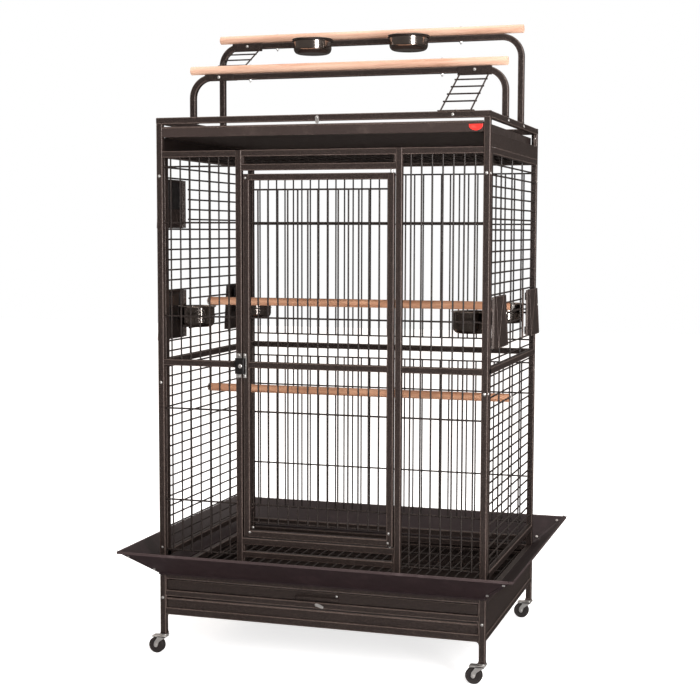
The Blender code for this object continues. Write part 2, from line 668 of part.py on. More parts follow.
def front_panel(name, side):
    """Bay beside the door: the door's post, rails and bars."""
    end = side * (INNER_X - GAP)
    post_out = side * DOOR_POST_OUT
    middle = (-POST_Y - WIRE / 2, -POST_Y + WIRE / 2)
    boxes = [box(side * DOOR_POST_IN, post_out, -HALF_DEPTH, -INNER_Y, CAGE_FOOT, HEADER_TOP)]
    for foot in (HEADER_FOOT, MID_RAIL - TUBE / 2, HIDDEN_RAIL):
        boxes.append(box(post_out, end, -HALF_DEPTH, -INNER_Y, foot, foot + TUBE))
    for level in cross_bar_levels():
        boxes.append(box(post_out, end, *middle, level - WIRE / 2, level + WIRE / 2))
    centre = side * (DOOR_POST_OUT + INNER_X) / 2
    reach = int(((INNER_X - DOOR_POST_OUT) / 2 - WIRE) / WIRE_PITCH)
    for i in range(-reach, reach + 1, 2):
        boxes.append(upright(centre + i * WIRE_PITCH, *middle, LOW_WIRE, HEADER_FOOT))
    return union_of_boxes(name, boxes, "frame_paint")


def pin_hole(item, z_low, z_high):
    """Cut the bore for a door pin."""
    cutter = rod("pin_bore", (HINGE_X, -POST_Y), HINGE_PIN_RADIUS + GAP, z_low, z_high, "zinc", "Z")
    return combine(item, [cutter], "DIFFERENCE")


def door_lintel():
    """Header over the door and the inner header that holds the upper pin."""
    end = DOOR_POST_IN - GAP
    boxes = [
        box(-end, end, -HALF_DEPTH, -INNER_Y, HEADER_FOOT, HEADER_TOP),
        box(-end, end, -HALF_DEPTH, -INNER_Y, LINTEL_FOOT, LINTEL_TOP),
    ]
    for side in (LEFT, RIGHT):
        plate = side * (end - SURROUND_END), side * end
        boxes.append(box(*plate, -HALF_DEPTH, -INNER_Y, LINTEL_FOOT, HEADER_TOP))
    lintel = union_of_boxes("door_lintel", boxes, "frame_paint")
    return pin_hole(lintel, LINTEL_FOOT - TUBE, LINTEL_FOOT + HINGE_PIN_REACH + GAP)


def door_sill():
    """Sill, threshold and lowest rail between the door's posts."""
    end = DOOR_POST_IN - GAP
    threshold = CAGE_FOOT + THRESHOLD_HEIGHT
    boxes = [
        box(-end, end, -HALF_DEPTH, -INNER_Y, SILL_TOP - SILL_HEIGHT, SILL_TOP),
        box(-end, end, -HALF_DEPTH, -INNER_Y, threshold, threshold + THRESHOLD),
        box(-end, end, -HALF_DEPTH, -INNER_Y, HIDDEN_RAIL, HIDDEN_RAIL + TUBE),
    ]
    for side in (LEFT, RIGHT):
        plate = side * (end - SURROUND_END), side * end
        boxes.append(box(*plate, -HALF_DEPTH, -INNER_Y, HIDDEN_RAIL, SILL_TOP))
    sill = union_of_boxes("door_sill", boxes, "frame_paint")
    return pin_hole(sill, SILL_TOP - HINGE_PIN_REACH - GAP, SILL_TOP + TUBE)


def main_door():
    """Door frame with its mid rail and bars; it turns on two pins at its right edge."""
    middle = (-POST_Y - WIRE / 2, -POST_Y + WIRE / 2)
    boxes = []
    for side in (LEFT, RIGHT):
        stile = side * (DOOR_HALF - TUBE), side * DOOR_HALF
        boxes.append(box(*stile, -HALF_DEPTH, -INNER_Y, DOOR_FOOT, DOOR_TOP))
    for foot in (DOOR_FOOT, MID_RAIL - TUBE / 2, DOOR_TOP - TUBE):
        boxes.append(box(-DOOR_HALF, DOOR_HALF, -HALF_DEPTH, -INNER_Y, foot, foot + TUBE))
    foot = DOOR_FOOT + DOOR_WIRE_FOOT
    top = DOOR_TOP - DOOR_WIRE_TOP
    for level in [foot, top] + [item for item in cross_bar_levels() if foot + WIRE < item < top - WIRE]:
        boxes.append(box(-DOOR_HALF + TUBE, DOOR_HALF - TUBE, *middle, level - WIRE / 2, level + WIRE / 2))
    for x in bar_places(DOOR_HALF - TUBE, 2):
        boxes.append(upright(x, *middle, foot, top))
    door = union_of_boxes("main_door", boxes, "frame_paint")
    pin_hole(door, DOOR_TOP - HINGE_PIN_REACH - GAP, DOOR_TOP + TUBE)
    pin_hole(door, DOOR_FOOT - TUBE, DOOR_FOOT + HINGE_PIN_REACH + GAP)
    return set_origin(door, (HINGE_X, -POST_Y, DOOR_FOOT))


def hinge_pin(name, lower_face, upper_face):
    """A pin that goes into the tubes above and below a gap."""
    pin = rod(name, (HINGE_X, -POST_Y), HINGE_PIN_RADIUS, lower_face - HINGE_PIN_REACH,
              upper_face + HINGE_PIN_REACH, "zinc", "Z")
    return shade_round(pin)


def door_latch(door):
    """Latch housing on the door's left edge, and its turn cam, which turns behind the post."""
    spindle_x = -DOOR_HALF - DOOR_GAP / 2
    level = MID_RAIL - LATCH_DROP
    back = -HALF_DEPTH - GAP
    outer = spindle_x - LATCH_WIDTH * LATCH_OUTER_SHARE
    case = box(outer, outer + LATCH_WIDTH, back - LATCH_DEPTH, back, level - LATCH_HEIGHT / 2,
               level + LATCH_HEIGHT / 2)
    housing = union_of_boxes("latch_housing", [case], "latch_plastic")
    bore = rod("spindle_bore", (spindle_x, level), LATCH_SPINDLE + GAP, back - 2 * LATCH_DEPTH, back + TUBE,
               "zinc", "Y", 10)
    combine(housing, [bore], "DIFFERENCE")
    ride_on(housing, door)

    cam_front = -INNER_Y + GAP
    half, tip = CAM_HEIGHT / 2, CAM_HEIGHT / 2 - CAM_TAPER
    outline = [(-CAM_BACK, -half), (CAM_LENGTH, -tip), (CAM_LENGTH, tip), (-CAM_BACK, half)]
    cam = prism("latch_cam", outline, cam_front, cam_front + CAM_THICKNESS, "zinc")
    knob_back = back - LATCH_DEPTH - GAP
    spindle = rod("spindle", (0, 0), LATCH_SPINDLE, knob_back - 0.001, cam_front + 0.001, "zinc", "Y", 10)
    knob = rod("knob", (0, 0), KNOB_RADIUS, knob_back - KNOB_DEPTH, knob_back, "zinc", "Y", 12)
    combine(cam, [spindle, knob])
    cam.data.transform(Matrix.Translation((spindle_x, 0, level)))
    set_origin(cam, (spindle_x, back, level))
    ride_on(cam, door)
    return housing, cam


# ---------------------------------------------------------------- roof
def ceiling_grille():
    """Bars under the play tray, on a rim."""
    end_x = INNER_X - GAP
    end_y = INNER_Y - GAP
    level = HEADER_TOP - TUBE / 2
    low, high = level - WIRE / 2, level + WIRE / 2
    boxes = []
    for side in (-1, 1):
        boxes.append(box(-end_x, end_x, side * (end_y - WIRE), side * end_y, low, high))
        boxes.append(box(side * (end_x - WIRE), side * end_x, -end_y, end_y, low, high))
    for x in bar_places(end_x - WIRE):
        boxes.append(upright(x, -end_y, end_y, low, high))
    for y in (-SIDE_UPRIGHT_Y, SIDE_UPRIGHT_Y):
        boxes.append(box(-end_x, end_x, y - WIRE / 2, y + WIRE / 2, low, high))
    return union_of_boxes("ceiling_grille", boxes, "frame_paint")


def roof_frame():
    """Ring of tube on top of the posts."""
    foot = CAGE_TOP - TUBE
    boxes = []
    for side in (-1, 1):
        boxes.append(box(-HALF_WIDTH, HALF_WIDTH, side * INNER_Y, side * HALF_DEPTH, foot, CAGE_TOP))
        boxes.append(box(side * INNER_X, side * HALF_WIDTH, -HALF_DEPTH, HALF_DEPTH, foot, CAGE_TOP))
    return union_of_boxes("roof_frame", boxes, "frame_paint")


def play_tray():
    """Tray under the roof frame; it slides out to the front on the side bands."""
    half = INNER_X - RUNNING_GAP
    face = -HALF_DEPTH
    back = INNER_Y
    floor, rim = PLAY_TRAY_FOOT, PLAY_TRAY_RIM
    wall = rim - PLAY_TRAY_DROP
    boxes = [
        box(-half, half, face, back, floor, floor + SHEET),
        box(-half, half, face, face + SHEET, floor, rim),
        box(-half, half, face, face + PLAY_TRAY_LIP, rim - SHEET, rim),
        box(-half, half, back - SHEET, back, floor, wall),
    ]
    for side in (LEFT, RIGHT):
        boxes.append(box(side * (half - SHEET), side * half, face, back, floor, wall))
    return union_of_boxes("play_tray", boxes, "frame_paint")


def tray_clip():
    """Turn clip on the roof frame's front."""
    face = -HALF_DEPTH - GAP
    pivot_z = CAGE_TOP - TUBE / 2
    foot = PLAY_TRAY_RIM + CLIP_LIFT
    half, tip = TAB_HALF_WIDTH, TAB_HALF_WIDTH - CLIP_TIP
    top = pivot_z + half
    outline = [(-half, top), (-half, foot + CLIP_TIP), (-tip, foot), (tip, foot), (half, foot + CLIP_TIP),
               (half, top)]
    clip = prism("tray_clip", outline, face - TAB_THICKNESS, face, "zinc")
    combine(clip, [screw_head((0, pivot_z), face - TAB_THICKNESS)])
    return set_origin(clip, (0, face, pivot_z))


def arch(name, y, rise):
    """Square tube bent into an arch that stands on the roof frame's sides."""
    foot = CAGE_TOP + GAP
    bar = CAGE_TOP + rise
    path = [(-POST_X, foot, 0.0)]
    for i in range(ARCH_STEPS + 1):
        angle = math.pi / 2 * i / ARCH_STEPS
        x = -POST_X + ARCH_BEND * (1 - math.cos(angle))
        path.append((x, bar - ARCH_BEND * (1 - math.sin(angle)), angle))
    path += [(-x, z, math.pi - angle) for x, z, angle in reversed(path)]
    half = TUBE / 2
    points = []
    for x, z, angle in path:
        out = (-math.cos(angle) * half, math.sin(angle) * half)
        for side, along in ((1, -1), (1, 1), (-1, 1), (-1, -1)):
            points.append((x + side * out[0], y + along * half, z + side * out[1]))
    faces = [[0, 1, 2, 3], [len(points) - 4 + i for i in range(4)]]
    for ring in range(len(path) - 1):
        for i in range(4):
            j = (i + 1) % 4
            faces.append([4 * ring + i, 4 * ring + j, 4 * ring + 4 + j, 4 * ring + 4 + i])
    return new_object(name, mesh_from_faces(name, points, faces), "frame_paint")


def roof_perch(name, y, rise):
    """Dowel along the top of an arch."""
    z = CAGE_TOP + rise + TUBE / 2 + GAP + PERCH_DIAMETER / 2
    end = HALF_WIDTH - PERCH_OVERHANG
    return shade_round(rod(name, (y, z), PERCH_DIAMETER / 2, -end, end, "perch_wood", "X", 16))


def cage_perch(name, z):
    """Dowel across the cage between the side grilles."""
    end = POST_X - WIRE / 2 - GAP
    return shade_round(rod(name, (0, z), PERCH_DIAMETER / 2, -end, end, "perch_wood", "X", 16))


def ladder(name, x, top, bottom, standing_foot):
    """Two rods with rungs between a plate on the upper bar and a plate at the foot."""
    top_y, top_z = top
    foot_y, foot_z = bottom
    lift = LADDER_ROD / 2 if standing_foot else 0
    run = Vector((0, foot_y - top_y, foot_z + lift - top_z))
    length = run.length
    half = LADDER_WIDTH / 2
    thick = LADDER_ROD / 2
    boxes = [box(side * (half - LADDER_ROD), side * half, 0, length, -thick, thick) for side in (-1, 1)]
    spacing = length / (LADDER_RUNGS + 1)
    for i in range(1, LADDER_RUNGS + 1):
        rung = i * spacing
        rung_half = half + RUNG_OVERHANG
        boxes.append(box(-rung_half, rung_half, rung - thick, rung + thick, -thick, thick))
    frame = union_of_boxes(name, boxes, "frame_paint")
    tilt = math.atan2(run.z, run.y)
    frame.data.transform(Matrix.Translation((x, top_y, top_z)) @ Matrix.Rotation(tilt, 4, "X"))
    half_plate = LADDER_PLATE / 2
    plate_foot = top_z - LADDER_PLATE_LIP
    plates = [box(x - half_plate, x + half_plate, top_y - PLATE / 2, top_y + PLATE / 2,
                  plate_foot, plate_foot + LADDER_PLATE_HEIGHT)]
    if standing_foot:
        plates.append(box(x - half_plate, x + half_plate, foot_y - TUBE / 2, foot_y + TUBE / 2,
                          foot_z - PLATE / 2, foot_z + PLATE / 2))
    else:
        plates.append(box(x - half_plate, x + half_plate, foot_y - PLATE / 2, foot_y + PLATE / 2,
                          foot_z - TUBE / 2, foot_z + TUBE / 2))
    return combine(frame, [union_of_boxes("plate", [item], "frame_paint") for item in plates])


def bowl(name, x, y, rim, radius, rim_width, taper, depth):
    """Pressed bowl with a flat rim; `rim` is the underside of the rim."""
    top = BOWL_SHEET
    inside = radius - BOWL_SHEET
    shoulder = -depth * BOWL_SHOULDER
    edge = radius + rim_width
    outside = [(0, -depth), (radius - taper, -depth), (radius, shoulder), (radius, 0), (edge, 0), (edge, top)]
    profile = outside + [(inside, top), (inside, shoulder), (inside - taper, top - depth), (0, top - depth)]
    item = shade_round(turned(name, profile, "stainless", BOWL_SIDES), 30)
    item.location = (x, y, rim)
    return item


def ring_plate(x, y, top, radius):
    """Flat round plate that becomes a ring once its neck is on."""
    return rod("ring", (x, y), radius, top - RING_THICKNESS, top, "frame_paint", "Z", BOWL_SIDES)


def ring_hole(x, y, top, bowl_radius):
    """Cutter for the hole that a bowl hangs in."""
    return rod("ring_hole", (x, y), bowl_radius + 2 * GAP, top - 2 * RING_THICKNESS, top + RING_THICKNESS,
               "frame_paint", "Z", BOWL_SIDES)


def cup_ring(name, x):
    """Bracket on the rear arch with a ring that a play cup hangs in."""
    bar_face = REAR_ARCH_Y - TUBE / 2 - GAP
    top = CUP_RING_TOP
    half = CUP_BRACKET / 2
    bracket_top = top + CUP_BRACKET_LIP
    neck = [
        box(x - half, x + half, CUP_Y + CUP_RADIUS, bar_face, top - RING_THICKNESS, top),
        box(x - half, x + half, bar_face - PLATE, bar_face, bracket_top - CUP_BRACKET_HEIGHT, bracket_top),
    ]
    bracket = ring_plate(x, CUP_Y, top, CUP_RADIUS + CUP_RIM)
    bracket.name = name
    combine(bracket, [union_of_boxes("neck", neck, "frame_paint")])
    return combine(bracket, [ring_hole(x, CUP_Y, top, CUP_RADIUS)], "DIFFERENCE")


# ---------------------------------------------------------------- feeder doors
def feeder_door(name, side, rear, top_bar, with_bowl):
    """Pressed door with a folded face, hinged along its front edge, with a ring for a bowl."""
    hinge, far = feeder_span(rear)
    low_z, high_z = feeder_levels(top_bar)
    y0, y1 = hinge + FEEDER_GAP, far - FEEDER_GAP
    z0, z1 = low_z + FEEDER_GAP, high_z - FEEDER_GAP
    back = side * (HALF_WIDTH + GAP)
    apex_y = (y0 + y1) / 2

    def shell(inset):
        a, b, c, d = y0 + inset, y1 - inset, z0 + inset, z1 - inset
        depths = (PAN_EDGE_DEPTH, PAN_PEAK_DEPTH, PAN_FOOT_DEPTH)
        edge, peak, foot = (back + side * (depth - inset) for depth in depths)
        base = [(back, a, c), (back, b, c), (back, b, d), (back, apex_y, d), (back, a, d)]
        face = [(foot, a, c), (foot, b, c), (edge, b, d), (peak, apex_y, d), (edge, a, d)]
        return base + face

    points = shell(0) + shell(SHEET)
    faces = []
    for start in (0, 10):
        base = [start + i for i in range(5)]
        face = [start + 5 + i for i in range(5)]
        for i in range(5):
            j = (i + 1) % 5
            faces.append([base[i], base[j], face[j], face[i]])
        faces += [[face[0], face[1], face[3]], [face[1], face[2], face[3]], [face[0], face[3], face[4]]]
    for i in range(5):
        j = (i + 1) % 5
        faces.append([i, j, 10 + j, 10 + i])
    pan = new_object(name, mesh_from_faces(name, points, faces), "frame_paint")

    ring_radius = BOWL_RADIUS + BOWL_RIM
    bowl_x = back - side * (ring_radius + BOWL_INSET)
    bowl_y = hinge + ring_radius + (REAR_BOWL_SHIFT if rear else FRONT_BOWL_SHIFT)
    ring_top = z1 - BOWL_RIM_DROP
    along = (min(bowl_y - y0, y1 - bowl_y) - RING_NECK / 2) / (apex_y - y0)
    down = (z1 - ring_top) / (z1 - z0)
    fold, slope = PAN_PEAK_DEPTH - PAN_EDGE_DEPTH, PAN_FOOT_DEPTH - PAN_EDGE_DEPTH
    depth = PAN_EDGE_DEPTH + along * fold + down * slope
    reach = back + side * (depth - SHEET / 2)
    neck = box(bowl_x + side * BOWL_RADIUS, reach, bowl_y - RING_NECK / 2, bowl_y + RING_NECK / 2,
               ring_top - RING_THICKNESS, ring_top)
    ring = ring_plate(bowl_x, bowl_y, ring_top, ring_radius)
    combine(ring, [union_of_boxes("neck", [neck], "frame_paint")])
    combine(ring, [ring_hole(bowl_x, bowl_y, ring_top, BOWL_RADIUS)], "DIFFERENCE")
    combine(pan, [ring])
    set_origin(pan, (back, hinge, z0))
    if with_bowl:
        item = bowl(name.replace("feeder_door", "feeder_bowl"), bowl_x, bowl_y, ring_top + GAP,
                    BOWL_RADIUS, BOWL_RIM, BOWL_TAPER, BOWL_DEPTH)
        ride_on(item, pan)
    return pan


# ---------------------------------------------------------------- assembly
def build_stand():
    base_side("base_left", LEFT)
    base_side("base_right", RIGHT)
    base_back()
    base_front()
    grate = set_origin(floor_grate(), (0, 0, GRATE_FOOT))
    ride_on(grate_front(), grate)
    set_origin(bottom_tray(), (0, 0, TRAY_FOOT))
    drawer_latch()
    for end, y in (("front", -POST_Y), ("rear", POST_Y)):
        for hand, x in (("left", -POST_X), ("right", POST_X)):
            fork = caster_fork(f"caster_fork_{end}_{hand}", x, y)
            caster_wheel(f"caster_wheel_{end}_{hand}", fork, x, y)
    skirt_panel("skirt_front", HALF_WIDTH, HALF_DEPTH, 0)
    skirt_panel("skirt_right", HALF_DEPTH, HALF_WIDTH, math.pi / 2)
    skirt_panel("skirt_back", HALF_WIDTH, HALF_DEPTH, math.pi)
    skirt_panel("skirt_left", HALF_DEPTH, HALF_WIDTH, -math.pi / 2)


def build_cage():
    lower_pair = [(False, LOWER_FEEDER_BAR), (True, LOWER_FEEDER_BAR)]
    side_panel("side_panel_left", LEFT, lower_pair + [(False, UPPER_FEEDER_BAR)])
    side_panel("side_panel_right", RIGHT, lower_pair)
    back_panel()
    front_panel("front_panel_left", LEFT)
    front_panel("front_panel_right", RIGHT)
    door_lintel()
    door_sill()
    door = main_door()
    hinge_pin("door_pin_upper", DOOR_TOP, LINTEL_FOOT)
    hinge_pin("door_pin_lower", SILL_TOP, DOOR_FOOT)
    door_latch(door)
    feeder_door("feeder_door_left_upper", LEFT, False, UPPER_FEEDER_BAR, False)
    for hand, side in (("left", LEFT), ("right", RIGHT)):
        feeder_door(f"feeder_door_{hand}_front", side, False, LOWER_FEEDER_BAR, True)
        feeder_door(f"feeder_door_{hand}_rear", side, True, LOWER_FEEDER_BAR, True)
    cage_perch("cage_perch_upper", MID_RAIL + UPPER_PERCH_RISE)
    cage_perch("cage_perch_lower", MID_RAIL - LOWER_PERCH_DROP)


def build_roof():
    ceiling_grille()
    roof_frame()
    set_origin(play_tray(), (0, 0, PLAY_TRAY_FOOT))
    tray_clip()
    arch("arch_front", FRONT_ARCH_Y, FRONT_ARCH_RISE)
    arch("arch_rear", REAR_ARCH_Y, REAR_ARCH_RISE)
    roof_perch("roof_perch_front", FRONT_ARCH_Y, FRONT_ARCH_RISE)
    roof_perch("roof_perch_rear", REAR_ARCH_Y, REAR_ARCH_RISE)
    for hand, side in (("left", LEFT), ("right", RIGHT)):
        cup_ring(f"cup_ring_{hand}", side * CUP_X)
        bowl(f"play_cup_{hand}", side * CUP_X, CUP_Y, CUP_RING_TOP + GAP, CUP_RADIUS, CUP_RIM, CUP_TAPER,
             CUP_DEPTH)
    bar_front = TUBE / 2 + GAP + PLATE / 2
    front_bar = CAGE_TOP + FRONT_ARCH_RISE
    rear_bar = CAGE_TOP + REAR_ARCH_RISE
    plate_drop = TUBE / 2 - LADDER_PLATE_HEIGHT + LADDER_PLATE_LIP
    ladder_x = HALF_WIDTH - LADDER_INSET
    ladder("ladder_right", ladder_x, (FRONT_ARCH_Y - bar_front, front_bar + plate_drop),
           (-POST_Y, CAGE_TOP + GAP + PLATE / 2), True)
    ladder("ladder_left", -ladder_x, (REAR_ARCH_Y - bar_front, rear_bar + plate_drop),
           (FRONT_ARCH_Y + bar_front, front_bar), False)


def main():
    clear_scene()
    build_stand()
    build_cage()
    build_roof()


main()
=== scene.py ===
"""Looks of the play-top parrot cage: round bars, rounded tubes, folded sheet, bolts and materials.

Metres, +Z up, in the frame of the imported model.  The overall sizes come from the frame's boxes,
and the details from the named sizes below.
"""
from math import atan2, cos, pi, radians, sin, tan, tau

import bmesh
import bpy
from mathutils import Matrix, Vector


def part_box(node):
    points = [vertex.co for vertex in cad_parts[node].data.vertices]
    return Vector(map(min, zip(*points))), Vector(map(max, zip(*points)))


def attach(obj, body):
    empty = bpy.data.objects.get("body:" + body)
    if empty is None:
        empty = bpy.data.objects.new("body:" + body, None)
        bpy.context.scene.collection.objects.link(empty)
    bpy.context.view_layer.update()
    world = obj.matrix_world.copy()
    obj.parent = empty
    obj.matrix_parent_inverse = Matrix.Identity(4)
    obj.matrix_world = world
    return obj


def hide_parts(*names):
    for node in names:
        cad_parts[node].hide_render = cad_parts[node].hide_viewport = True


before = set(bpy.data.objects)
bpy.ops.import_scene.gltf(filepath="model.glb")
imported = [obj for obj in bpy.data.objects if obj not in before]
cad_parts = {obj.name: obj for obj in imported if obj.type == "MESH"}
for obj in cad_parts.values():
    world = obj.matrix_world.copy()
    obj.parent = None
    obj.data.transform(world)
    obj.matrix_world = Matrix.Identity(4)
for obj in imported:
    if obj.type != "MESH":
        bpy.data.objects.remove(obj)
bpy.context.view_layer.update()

# ---------------------------------------------------------------- sizes
TUBE = 0.019
TUBE_CORNER = 0.0026
WIRE = 0.0045
PITCH = 0.031
SHEET = 0.0015
GAP = 0.0003
LEFT, RIGHT = SIDES = -1, 1
HANDS = ("left", LEFT), ("right", RIGHT)

CROSS_NEAR = 0.140
CROSS_FAR = 0.420
BACK_MARGIN = 0.029
TOP_WIRE_DROP = 0.027
LOW_WIRE_HEIGHT = 0.0745
SIDE_RAIL_HEIGHT = 0.049
HIDDEN_RAIL_HEIGHT = 0.011
THRESHOLD_HEIGHT = 0.070
THRESHOLD = 0.018
SILL_HEIGHT = 0.020
DOOR_WIRE_TOP = 0.046
DOOR_WIRE_FOOT = 0.044
UPRIGHT_Y = 0.165
STRIP_WIDTH = 0.012
SIDE_STILE = 0.026
STRIP_THICKNESS = 0.003
FRONT_BAY_BARS = 7
DOOR_BARS = 13
BOLT = 0.0046
ARCH_BEND = 0.063
ARCH_CORNER = 0.0032
ARCH_STEPS = 14
LADDER_ROD = 0.0024
FLANGE = {LEFT: 0.018, RIGHT: 0.040}     # perforated edge of a feeder door
CRADLE_ROD = 0.0012
CRADLE_TOP, CRADLE_FOOT = 0.0016, 0.028  # the bowl's wire rings below its rim
LADDER_RUNGS = 4
RAIL = 0.0185             # height of the stand's rails
FOLD = 0.0007             # corner of a folded sheet
BEAD = 0.002              # rolled edge of the roof's bands
SKIRT_LIP = 0.008
PULL_HALF = 0.0685
CASTER_TRAIL = 0.024      # the stem stands this far beside the wheel's axle
POST_BOLT = 0.0037
POST_BOLT_LEVELS = 0.055, 0.062, 0.114   # below the header, below the mid rail, above a leg's foot
ARCH_SCREW_X = 0.306
BADGE_X = 0.4665


def span(node, axis):
    low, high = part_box(node)
    return low[axis], high[axis]


OUTER_X = span("roof_frame", 0)[1]
OUTER_Y = span("roof_frame", 1)[1]
ROOF_TOP = span("roof_frame", 2)[1]
INNER_X = OUTER_X - TUBE
INNER_Y = OUTER_Y - TUBE
POST_X = OUTER_X - TUBE / 2
POST_Y = OUTER_Y - TUBE / 2
CAGE_FOOT = span("side_panel_left", 2)[0]
POST_TOP = span("side_panel_left", 2)[1]
LINTEL_FOOT, HEADER_TOP = span("door_lintel", 2)
HEADER_FOOT = HEADER_TOP - TUBE
SILL_TOP = span("door_sill", 2)[1]
BAND_TOP = span("back_panel", 2)[1]
DOOR_HALF = span("main_door", 0)[1]
DOOR_FOOT, DOOR_TOP = span("main_door", 2)
DOOR_POST_IN = -span("front_panel_left", 0)[1]
DOOR_POST_OUT = DOOR_POST_IN + TUBE
LEG_FOOT, BASE_TOP = span("base_left", 2)
LOW_RAIL_FOOT = span("base_back", 2)[0]
MID_RAIL = CAGE_FOOT + 0.650
MID_RAIL_FOOT = MID_RAIL - TUBE / 2
HIDDEN_RAIL_FOOT = CAGE_FOOT + HIDDEN_RAIL_HEIGHT
TOP_WIRE = HEADER_FOOT - TOP_WIRE_DROP
LOW_WIRE = CAGE_FOOT + LOW_WIRE_HEIGHT


# ---------------------------------------------------------------- materials
def srgb(red, green, blue):
    """0-255 screen colour as a linear colour."""
    def channel(value):
        value /= 255
        return value / 12.92 if value <= 0.04045 else ((value + 0.055) / 1.055) ** 2.4
    return channel(red), channel(green), channel(blue), 1.0


def add_node(tree, kind, inputs=(), **settings):
    """Add a shader node; inputs maps a socket to a value or to the output that feeds it."""
    item = tree.nodes.new("ShaderNode" + kind)
    for key, value in settings.items():
        setattr(item, key, value)
    for socket, value in dict(inputs).items():
        if isinstance(value, bpy.types.NodeSocket):
            tree.links.new(value, item.inputs[socket])
        else:
            item.inputs[socket].default_value = value
    return item


class Look:
    """A Principled material and short calls for the nodes that vary it."""

    def __init__(self, name, colour, roughness, metallic=0.0, coat=0.0, specular=0.5):
        self.material = bpy.data.materials.new(name)
        self.material.use_nodes = True
        self.tree = self.material.node_tree
        self.shader = self.tree.nodes["Principled BSDF"]
        for socket, value in (("Base Color", colour), ("Roughness", roughness), ("Metallic", metallic),
                              ("Coat Weight", coat), ("Coat Roughness", 0.25), ("Specular IOR Level", specular)):
            self.shader.inputs[socket].default_value = value
        self.place = add_node(self.tree, "TexCoord").outputs["Object"]

    def feed(self, output, socket):
        self.tree.links.new(output, self.shader.inputs[socket])

    def noise(self, scale, detail=2.0, roughness=0.5, stretch=(1, 1, 1)):
        mapping = add_node(self.tree, "Mapping", {"Scale": stretch, "Vector": self.place})
        item = add_node(self.tree, "TexNoise", {"Scale": scale, "Detail": detail, "Roughness": roughness,
                                                "Vector": mapping.outputs["Vector"]})
        return item.outputs["Fac"]

    def ramp(self, value, *stops):
        item = add_node(self.tree, "ValToRGB", {"Fac": value})
        elements = item.color_ramp.elements
        while len(elements) < len(stops):
            elements.new(0.5)
        for element, (place, colour) in zip(elements, stops):
            element.position = place
            element.color = colour if isinstance(colour, tuple) else (colour, colour, colour, 1)
        return item.outputs["Color"]

    def mix(self, share, first, second):
        return add_node(self.tree, "Mix", {0: share, 6: first, 7: second}, data_type="RGBA").outputs[2]

    def colour(self, value):
        self.feed(value, "Base Color")

    def rough(self, value, low, high):
        item = add_node(self.tree, "MapRange", {"To Min": low, "To Max": high, "Value": value})
        self.feed(item.outputs["Result"], "Roughness")

    def bump(self, *layers):
        """Each layer is (height, strength, distance)."""
        below = {}
        for height, strength, distance in layers:
            values = {"Strength": strength, "Distance": distance, "Height": height, **below}
            item = add_node(self.tree, "Bump", values)
            below = {"Normal": item.outputs["Normal"]}
        self.feed(below["Normal"], "Normal")


def hammered_paint(name, base, dark, light, roughness=0.42):
    """Powder coat with a fine hammered surface, light flecks and a slow change of tone."""
    look = Look(name, base, roughness, metallic=0.10, specular=0.42)
    fleck = look.noise(620, 3, 0.65)
    tone = look.mix(look.noise(7, 3), dark, base)
    flecked = look.mix(look.ramp(fleck, (0.52, 0.0), (0.68, 1.0)), tone, light)
    shade = look.ramp(look.noise(260, 2), (0.30, 0.0), (0.62, 1.0))
    look.colour(look.mix(shade, look.mix(0.55, flecked, dark), flecked))
    look.rough(look.noise(190, 2), roughness - 0.10, roughness + 0.16)
    look.bump((look.noise(240, 2), 0.35, 0.0006), (fleck, 0.25, 0.00025))
    return look.material


def smooth_paint(name, base, dark, light):
    """Smoother coat on flat sheet, with faint orange peel and rubbed patches."""
    look = Look(name, base, 0.36, metallic=0.08, coat=0.10, specular=0.42)
    tone = look.mix(look.noise(3.5, 4), dark, base)
    rubbed = look.ramp(look.noise(16, 5, 0.7), (0.55, 0.0), (0.75, 0.5))
    grain = look.ramp(look.noise(700, 2), (0.5, 0.0), (0.75, 0.35))
    look.colour(look.mix(rubbed, look.mix(grain, tone, light), light))
    look.rough(look.noise(45, 4), 0.28, 0.48)
    look.bump((look.noise(320, 2), 0.16, 0.0004),)
    return look.material


def metal(name, colour, roughness, brushed, smear, metallic=1.0):
    """Bright metal with fine brush lines and dull patches."""
    look = Look(name, colour, roughness, metallic=metallic)
    lines = look.noise(90, 4, 0.7, brushed)
    look.colour(look.mix(look.ramp(look.noise(24, 4), (0.35, 0.0), (0.75, 1.0)), colour, smear))
    look.rough(lines, roughness - 0.05, roughness + 0.10)
    look.bump((lines, 0.05, 0.0002),)
    return look.material


def dowel_wood(name, base, pale, streak):
    """Pale pinkish hardwood whose grain runs along X."""
    look = Look(name, base, 0.62, specular=0.35)
    figure = look.noise(7, 5, 0.6, (0.5, 9, 9))
    pores = look.noise(60, 4, 0.7, (0.35, 14, 14))
    tone = look.ramp(figure, (0.28, streak), (0.46, base), (0.70, pale))
    look.colour(look.mix(look.ramp(pores, (0.56, 0.0), (0.78, 0.55)), tone, streak))
    look.rough(figure, 0.52, 0.74)
    look.bump((pores, 0.22, 0.0004), (figure, 0.10, 0.0006))
    return look.material


def plastic(name, base, light, roughness, grain=420):
    """Moulded plastic with a fine grain and scuffs."""
    look = Look(name, base, roughness, specular=0.45)
    scuff = look.ramp(look.noise(55, 5, 0.7), (0.52, 0.0), (0.78, 0.6))
    look.colour(look.mix(scuff, base, light))
    look.rough(look.noise(80, 3), roughness - 0.08, roughness + 0.14)
    look.bump((look.noise(grain, 2), 0.12, 0.0003),)
    return look.material


